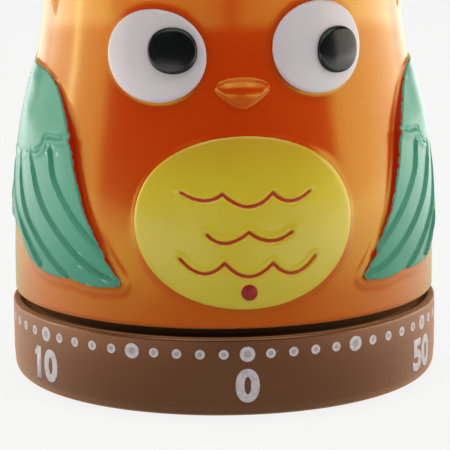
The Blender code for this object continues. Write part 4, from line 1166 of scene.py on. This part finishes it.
# %% Belly and pointer
SCALLOP_LIP = (0.12, 0.62, 0.4)
SCALLOP_CUT = (0.36, 0.0, 0.3)


def belly_groove(flat):
    return np.min([np.abs(line_distance(flat, line)) for line in scallop_lines], axis=0)


def belly_height(flat, inward):
    proud = 0.52 + 0.12 * smooth_step(inward, 0.0, 7.0)
    for line in scallop_lines:
        above = line_distance(flat, line)
        proud += hump(above, SCALLOP_LIP) - hump(above, SCALLOP_CUT)
    proud += 0.02 * wobble(flat, 3.1, 1.7)
    return proud - rounded_edge(inward, 0.44, 0.85)


def pointer_height(flat, inward):
    return 0.72 + 0.16 * np.sin(np.minimum(inward, 1.4) * 1.12)


def pointer_floor(flat):
    return np.full(len(flat), 0.5)


belly = raised_area("belly", yellow_paint, "belly_panel",
                    oval_loop(BELLY_CENTRE, BELLY_HALF, 200, BELLY_POWER), np.array(BELLY_CENTRE),
                    belly_height, 72, groove=belly_groove)
pointer = raised_area("pointer", red_paint, "pointer_dot",
                      oval_loop(POINTER, (POINTER_R, POINTER_R), 40), np.array(POINTER), pointer_height, 8,
                      sink=0.1, floor=pointer_floor)
print("belly points:", len(belly.data.vertices), "pointer points:", len(pointer.data.vertices))

# %% [markdown]
# ## Eyes and pupils
# Each eye is a low dome with a soft rim, sprayed white through a mask that left an uneven edge.
# The pupil is a thick black button on the dome, with a rounded rim and a slightly raised middle.
# It sits off centre, so the owl looks slightly sideways.

# %% Eyes and pupils
EYE_WALL = 0.85
EYE_DOME = 0.85
EYE_REACH = 7.0
PUPIL_WALL = 0.78
PUPIL_DOME = 0.2
PUPIL_REACH = 3.4


def eye_height(flat, inward):
    dome = (1.0 - (1.0 - np.minimum(inward / EYE_REACH, 1.0)) ** 2) ** 0.9
    return EYE_WALL + EYE_DOME * dome - rounded_edge(inward, 0.4)


def make_eye(side):
    eye = side + "_eye"
    pupil = side + "_pupil"
    loop = oval_loop(*EYES[eye], 120, EYE_POWER)
    made = raised_area("eye_" + side, white_paint, eye, loop, np.array(EYES[eye][0]),
                       eye_height, 20)

    def dome(flat):
        return eye_height(flat, np.maximum(loop_distance(flat, loop), 0.0))

    def pupil_height(flat, inward):
        middle = np.sin(np.minimum(inward / PUPIL_REACH, 1.0) * 1.57)
        return dome(flat) + PUPIL_WALL + PUPIL_DOME * middle - rounded_edge(inward, 0.5)

    raised_area("pupil_" + side, black_paint, pupil,
                oval_loop(*PUPILS[pupil], 72, PUPIL_POWER), np.array(PUPILS[pupil][0]), pupil_height, 12,
                sink=0.12, floor=dome)
    return made


for side in ("left", "right"):
    print("eye points:", side, len(make_eye(side).data.vertices))

# %% [markdown]
# ## The dial base
# The base is a turned shape: a ring with a straight printed side, a thin rounded rim, a dark
# channel under the owl and a collar that guides it. Revolving one outline keeps every edge round
# and exact. Three hundred and sixty steps make its silhouette smooth.

# %% Dial base
DECK_TOP = 12.9
DECK_BOTTOM = 11.4
COLLAR_R = 31.6
COLLAR_WALL = 1.6
COLLAR_TOP = 17.5
OPENING_R = 22.6
COVER_SEAT_R = 32.5
COVER_SEAT_TOP = 2.65
SIDE_WALL = 1.9
FOOT_CORNER = 2.2
FOOT_INSET = 0.15
ROUND = 0.3
FILLET = 0.4


def collar_outline():
    """From the opening, over the deck and the collar that guides the owl, down to the channel."""
    inside = COLLAR_R - COLLAR_WALL
    top = COLLAR_TOP - ROUND
    return ([(OPENING_R, DECK_BOTTOM), (OPENING_R, DECK_TOP - ROUND), (OPENING_R + ROUND, DECK_TOP),
             (inside - ROUND, DECK_TOP), (inside, DECK_TOP + ROUND), (inside, top)]
            + arc((inside + ROUND, top), ROUND, 180.0, 90.0, 4)
            + arc((COLLAR_R - ROUND, top), ROUND, 90.0, 0.0, 4)
            + [(COLLAR_R, DECK_TOP + FILLET)]
            + arc((COLLAR_R + FILLET, DECK_TOP + FILLET), FILLET, 180.0, 270.0, 4))


def rim_outline():
    """From the channel over the rim, down the printed side, and back up inside the wall."""
    inset = FOOT_INSET + FOOT_CORNER
    wall = DIAL_R - SIDE_WALL
    return ([(DIAL_R - 1.6, DECK_TOP), (DIAL_R - 1.3, DECK_TOP + 0.05)]
            + arc((DIAL_R - 1.0, DIAL_TOP - 0.2), 0.2, 180.0, 90.0, 4)
            + arc((DIAL_R - 0.5, DIAL_TOP - 0.5), 0.5, 90.0, 0.0, 7) + [(DIAL_R, 5.0)]
            + arc((DIAL_R - inset, BASE_BOTTOM + FOOT_CORNER), FOOT_CORNER, 0.0, -90.0, 10)
            + [(COVER_SEAT_R, BASE_BOTTOM + ROUND), (COVER_SEAT_R, COVER_SEAT_TOP), (wall, COVER_SEAT_TOP),
               (wall, DECK_BOTTOM - FILLET), (wall - FILLET, DECK_BOTTOM)])


dial_outline = collar_outline() + rim_outline()
dial_base = new_object("dial_base", turned_mesh("dial_base", dial_outline, 360), brown_plastic, "base",
                       ("base_housing",))
print("dial outline points:", len(dial_outline), "mesh points:", len(dial_base.data.vertices))

# %% [markdown]
# ## Minute marks and numbers
# The marks are printed on the side of the dial: sixty dots, a bigger one each five minutes, and a
# number each ten. Blender's text objects give real letter shapes. They are cut into narrow
# vertical strips first, so that they can bend round the dial, then wrapped onto it as a thin film.

# %% Bending a drawing round the dial
INK_MM = 0.015
PRINT_R = DIAL_R + INK_MM
DEGREES_A_MINUTE = -6.0
SAME_PLACE = 0.005


def wrap_on_dial(bm, azimuth):
    """Bend a flat drawing, millimetres with x across and y up, round the dial."""
    for vert in bm.verts:
        angle = math.radians(azimuth) + vert.co.x / PRINT_R
        radius = PRINT_R + vert.co.z
        vert.co = Vector((radius * math.sin(angle), -radius * math.cos(angle), vert.co.y))


def cut_upright(bm, places):
    """Cut a flat drawing along upright lines, so that it can bend there."""
    for x in places:
        bmesh.ops.bisect_plane(bm, geom=bm.verts[:] + bm.edges[:] + bm.faces[:], plane_co=(x, 0.0, 0.0),
                               plane_no=(1.0, 0.0, 0.0))
    bmesh.ops.remove_doubles(bm, verts=bm.verts, dist=SAME_PLACE)


def thicken(bm, depth=0.1):
    made = bmesh.ops.extrude_face_region(bm, geom=list(bm.faces))
    for vert in made["geom"]:
        if isinstance(vert, bmesh.types.BMVert):
            vert.co.z -= depth


def print_flat(bm, drawn, minute):
    """Give a flat drawing its thickness, bend it to its minute and add it to the print."""
    thicken(drawn)
    wrap_on_dial(drawn, DEGREES_A_MINUTE * minute)
    mesh = bpy.data.meshes.new("mark")
    drawn.to_mesh(mesh)
    drawn.free()
    bm.from_mesh(mesh)
    bpy.data.meshes.remove(mesh)


print("print radius:", round(PRINT_R, 3))

# %% Shapes of the numbers
NUMBER_BOTTOM = 3.35
NUMBER_TALL = 5.35
NUMBER_WIDE = 3.75
BOLDER = 0.048


def glyph_mesh(text):
    """The outline of a number as flat faces, with its box, in the font's own units."""
    curve = bpy.data.curves.new("glyph", "FONT")
    curve.body = text
    curve.align_x = "CENTER"
    curve.offset = BOLDER
    curve.space_character = 1.02
    curve.resolution_u = 8
    item = bpy.data.objects.new("glyph", curve)
    bpy.context.scene.collection.objects.link(item)
    bpy.context.view_layer.update()
    mesh = bpy.data.meshes.new_from_object(item.evaluated_get(bpy.context.evaluated_depsgraph_get()))
    bpy.data.objects.remove(item)
    bpy.data.curves.remove(curve)
    xs = [v.co.x for v in mesh.vertices]
    ys = [v.co.y for v in mesh.vertices]
    return mesh, (min(xs), max(xs), min(ys), max(ys))


zero_box = glyph_mesh("0")[1]
glyph_x = NUMBER_WIDE / (zero_box[1] - zero_box[0])
glyph_y = NUMBER_TALL / (zero_box[3] - zero_box[2])
print("font units to mm:", round(glyph_x, 2), round(glyph_y, 2))

# %% Numbers and dots
FLAG_REACH = 0.65
STRIP = 0.4
DOT_HEIGHT = 11.0
DOT_R = 0.76
FIVE_MINUTE_R = 1.2


def add_flag(drawn, left, top):
    """The slanted flag at the top of a one, which the narrow font leaves too short."""
    corners = ((left + 0.5, top), (left + 0.5, top - 1.25), (left - FLAG_REACH, top - 1.75),
               (left - FLAG_REACH, top - 0.95))
    drawn.faces.new([drawn.verts.new((x, y, 0.0)) for x, y in corners])


def number_on_dial(bm, minutes):
    mesh, box = glyph_mesh(str(minutes))
    drawn = bmesh.new()
    drawn.from_mesh(mesh)
    bpy.data.meshes.remove(mesh)
    middle = 0.5 * (box[0] + box[1])
    for vert in drawn.verts:
        up = (vert.co.y - zero_box[2]) * glyph_y + NUMBER_BOTTOM
        vert.co = Vector(((vert.co.x - middle) * glyph_x, up, 0.0))
    half = 0.5 * (box[1] - box[0]) * glyph_x
    if str(minutes)[0] == "1":
        add_flag(drawn, -half, NUMBER_BOTTOM + NUMBER_TALL)
        half += FLAG_REACH
    cut_upright(drawn, np.arange(-half + STRIP, half, STRIP))
    print_flat(bm, drawn, minutes)


def dot_on_dial(bm, minute):
    radius = FIVE_MINUTE_R if minute % 5 == 0 else DOT_R
    drawn = bmesh.new()
    bmesh.ops.create_circle(drawn, cap_ends=True, cap_tris=True, segments=28, radius=radius)
    thin_ink = drawn.verts.layers.float.new("thin_ink")
    for vert in drawn.verts:
        vert[thin_ink] = 1.0 - vert.co.length / radius
    bmesh.ops.translate(drawn, verts=drawn.verts, vec=(0.0, DOT_HEIGHT, 0.0))
    cut_upright(drawn, [share * radius for share in (-0.5, 0.0, 0.5)])
    print_flat(bm, drawn, minute)


def dial_print(name, draw, minutes):
    bm = bmesh.new()
    for minute in minutes:
        draw(bm, minute)
    bmesh.ops.scale(bm, verts=bm.verts, vec=(MM, MM, MM))
    bmesh.ops.recalc_face_normals(bm, faces=bm.faces)
    mesh = bpy.data.meshes.new(name)
    bm.to_mesh(mesh)
    bm.free()
    return new_object(name, mesh, dial_ink, "base")


numbers = dial_print("dial_numbers", number_on_dial, range(0, 60, 10))
dots = dial_print("dial_dots", dot_on_dial, range(60))
print("number points:", len(numbers.data.vertices), "dot points:", len(dots.data.vertices))

# %% [markdown]
# ## Finishes for the parts that stay as built
# The other parts keep the shapes that the frame gave them: the hub, the movement, the bell, the
# cover and its feet. Each gets the finish of what it is made of.

# %% Finishes of the frame's own parts
def numbered(name, count):
    return tuple(f"{name}_{number}" for number in range(1, count + 1))


FINISHES = {
    "hub_ivory_plastic": ("hub",),
    "cover_black_plastic": ("base_cover",),
    "foot_rubber": numbered("rubber_foot", 3),
    "screw_steel": (numbered("cover_screw", 3) + numbered("hub_screw", 4) + numbered("movement_screw", 3)
                    + numbered("pillar_nut", 3) + ("bell_screw",)),
    "plate_zinc": ("lower_plate", "upper_plate", "trip_lever", "arbor_cam"),
    "wheel_brass": ("great_wheel", "second_wheel", "third_wheel", "escape_wheel", "star_wheel",
                    "ratchet_wheel", "balance_bar") + numbered("pillar", 3),
    "arbor_steel": ("main_arbor", "second_pinion", "third_pinion", "escape_pinion", "alarm_pinion",
                    "pallet_arbor", "pallet_anchor", "hammer_arbor", "hammer", "hammer_pallet", "lever_stud",
                    "click", "bell_post"),
    "bell_steel": ("bell",),
    "blued_spring_steel": ("mainspring",),
}
for finish, names in FINISHES.items():
    for node_name in names:
        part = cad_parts[node_name]
        for material_slot in part.material_slots:
            material_slot.material = bpy.data.materials[finish]
print("finished parts:", sum(len(names) for names in FINISHES.values()), "of", len(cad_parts))

# %% [markdown]
# ## The studio
# The timer stands on a lit table: the table itself glows, softly under the timer and more at both
# sides, so the undersides of the curves are never black. It looks as bright as the backdrop, and
# the two melt into plain white.

# %% Table
TABLE_SEEN = 0.875
TABLE_GLOW = 0.55
SIDE_GLOW = 2.6
SIDES_BEGIN = 30.0 * MM
SIDES_FULL = 220.0 * MM
TABLE_HALF = 6.0


def make_table():
    mesh = bpy.data.meshes.new("table")
    corners = ((-1, -1), (1, -1), (1, 1), (-1, 1))
    mesh.from_pydata([(x * TABLE_HALF, y * TABLE_HALF, 0.0) for x, y in corners], [], [(0, 1, 2, 3)])
    material, tree, shader, place = new_material("white_table")
    shade = noise(tree, place, 3.0, 2.0)
    tree.links.new(mix_colour(tree, shade, (0.05, 0.05, 0.05, 1.0), (0.055, 0.055, 0.055, 1.0)),
                   shader.inputs["Base Color"])
    shader.inputs["Roughness"].default_value = 0.8
    shader.inputs["Specular IOR Level"].default_value = 0.1
    seen = tree.nodes.new("ShaderNodeLightPath").outputs["Is Camera Ray"]
    shader.inputs["Emission Color"].default_value = (1.0, 1.0, 1.0, 1.0)
    across = add(tree, "ShaderNodeSeparateXYZ", {"Vector": place}).outputs["X"]
    side_glow = spread(tree, maths(tree, "ABSOLUTE", across), SIDES_BEGIN, SIDES_FULL, TABLE_GLOW,
                       SIDE_GLOW)
    glow = add(tree, "ShaderNodeMix", {0: seen, 2: side_glow, 3: TABLE_SEEN}).outputs[0]
    tree.links.new(glow, shader.inputs["Emission Strength"])
    mesh.materials.append(material)
    table = bpy.data.objects.new("table", mesh)
    bpy.context.scene.collection.objects.link(table)
    return table


table = make_table()
print("stage:", table.name)


# %% Backdrop
BACKDROP_SEEN = (0.922, 0.922, 0.922, 1.0)
ROOM_GLOW = 0.1


def make_backdrop():
    world = bpy.data.worlds.new("studio")
    world.use_nodes = True
    tree = world.node_tree
    tree.nodes.clear()
    seen = add(tree, "ShaderNodeBackground", {"Color": BACKDROP_SEEN, "Strength": 1.0})
    room = add(tree, "ShaderNodeBackground", {"Color": (1.0, 1.0, 1.0, 1.0), "Strength": ROOM_GLOW})
    ray = tree.nodes.new("ShaderNodeLightPath")
    mixed = add(tree, "ShaderNodeMixShader", {0: ray.outputs["Is Camera Ray"], 1: room.outputs[0],
                                              2: seen.outputs[0]})
    out = tree.nodes.new("ShaderNodeOutputWorld")
    tree.links.new(mixed.outputs[0], out.inputs[0])
    bpy.context.scene.world = world
    return world


backdrop = make_backdrop()
bpy.context.scene.view_settings.view_transform = "Standard"
print("backdrop:", backdrop.name)

# %% [markdown]
# ## Soft boxes
# Glossy plastic shows its lights as reflections, so each light is placed for the streak it draws.
# A wide warm box at each side gives the pale upright bands on the flanks, and a slim one adds a
# sharper line. Boxes high in front and behind light the dome and the tops of the eyes and wings.
# Nothing bright stands straight in front, which keeps the orange deep there.

# %% Soft boxes
LIGHT_TARGET = Vector((0.0, 0.0, 40.0)) * MM


def soft_box(name, azimuth, elevation, distance, size, power, colour=(1.0, 1.0, 1.0)):
    """An area light that looks at the timer from a direction; 0 is the front, 90 is +X."""
    a, e = math.radians(azimuth), math.radians(elevation)
    away = Vector((math.sin(a) * math.cos(e), -math.cos(a) * math.cos(e), math.sin(e)))
    data = bpy.data.lights.new(name, "AREA")
    data.shape = "RECTANGLE"
    data.size, data.size_y = size
    data.energy = power
    data.color = colour
    light = bpy.data.objects.new(name, data)
    light.location = LIGHT_TARGET + away * distance
    light.rotation_mode = "QUATERNION"
    light.rotation_quaternion = away.to_track_quat("Z", "Y")
    bpy.context.scene.collection.objects.link(light)
    return light


WARM = (1.0, 0.95, 0.76)
lights = [
    soft_box("overhead_front", 0.0, 70.0, 0.9, (0.9, 0.7), 3.4),
    soft_box("left_wide", -108.0, 4.0, 0.6, (0.7, 0.5), 2.2, WARM),
    soft_box("left_slim", -106.0, 14.0, 0.5, (0.03, 0.5), 0.3),
    soft_box("right_wide", 95.0, 4.0, 0.6, (0.8, 0.5), 3.2, WARM),
    soft_box("left_front_high", -50.0, 50.0, 0.9, (0.5, 0.5), 1.0),
    soft_box("right_front_high", 55.0, 50.0, 0.9, (0.5, 0.5), 1.0),
    soft_box("back_high", 180.0, 50.0, 0.8, (0.9, 0.5), 1.1),
]
print("lights:", [light.name for light in lights])
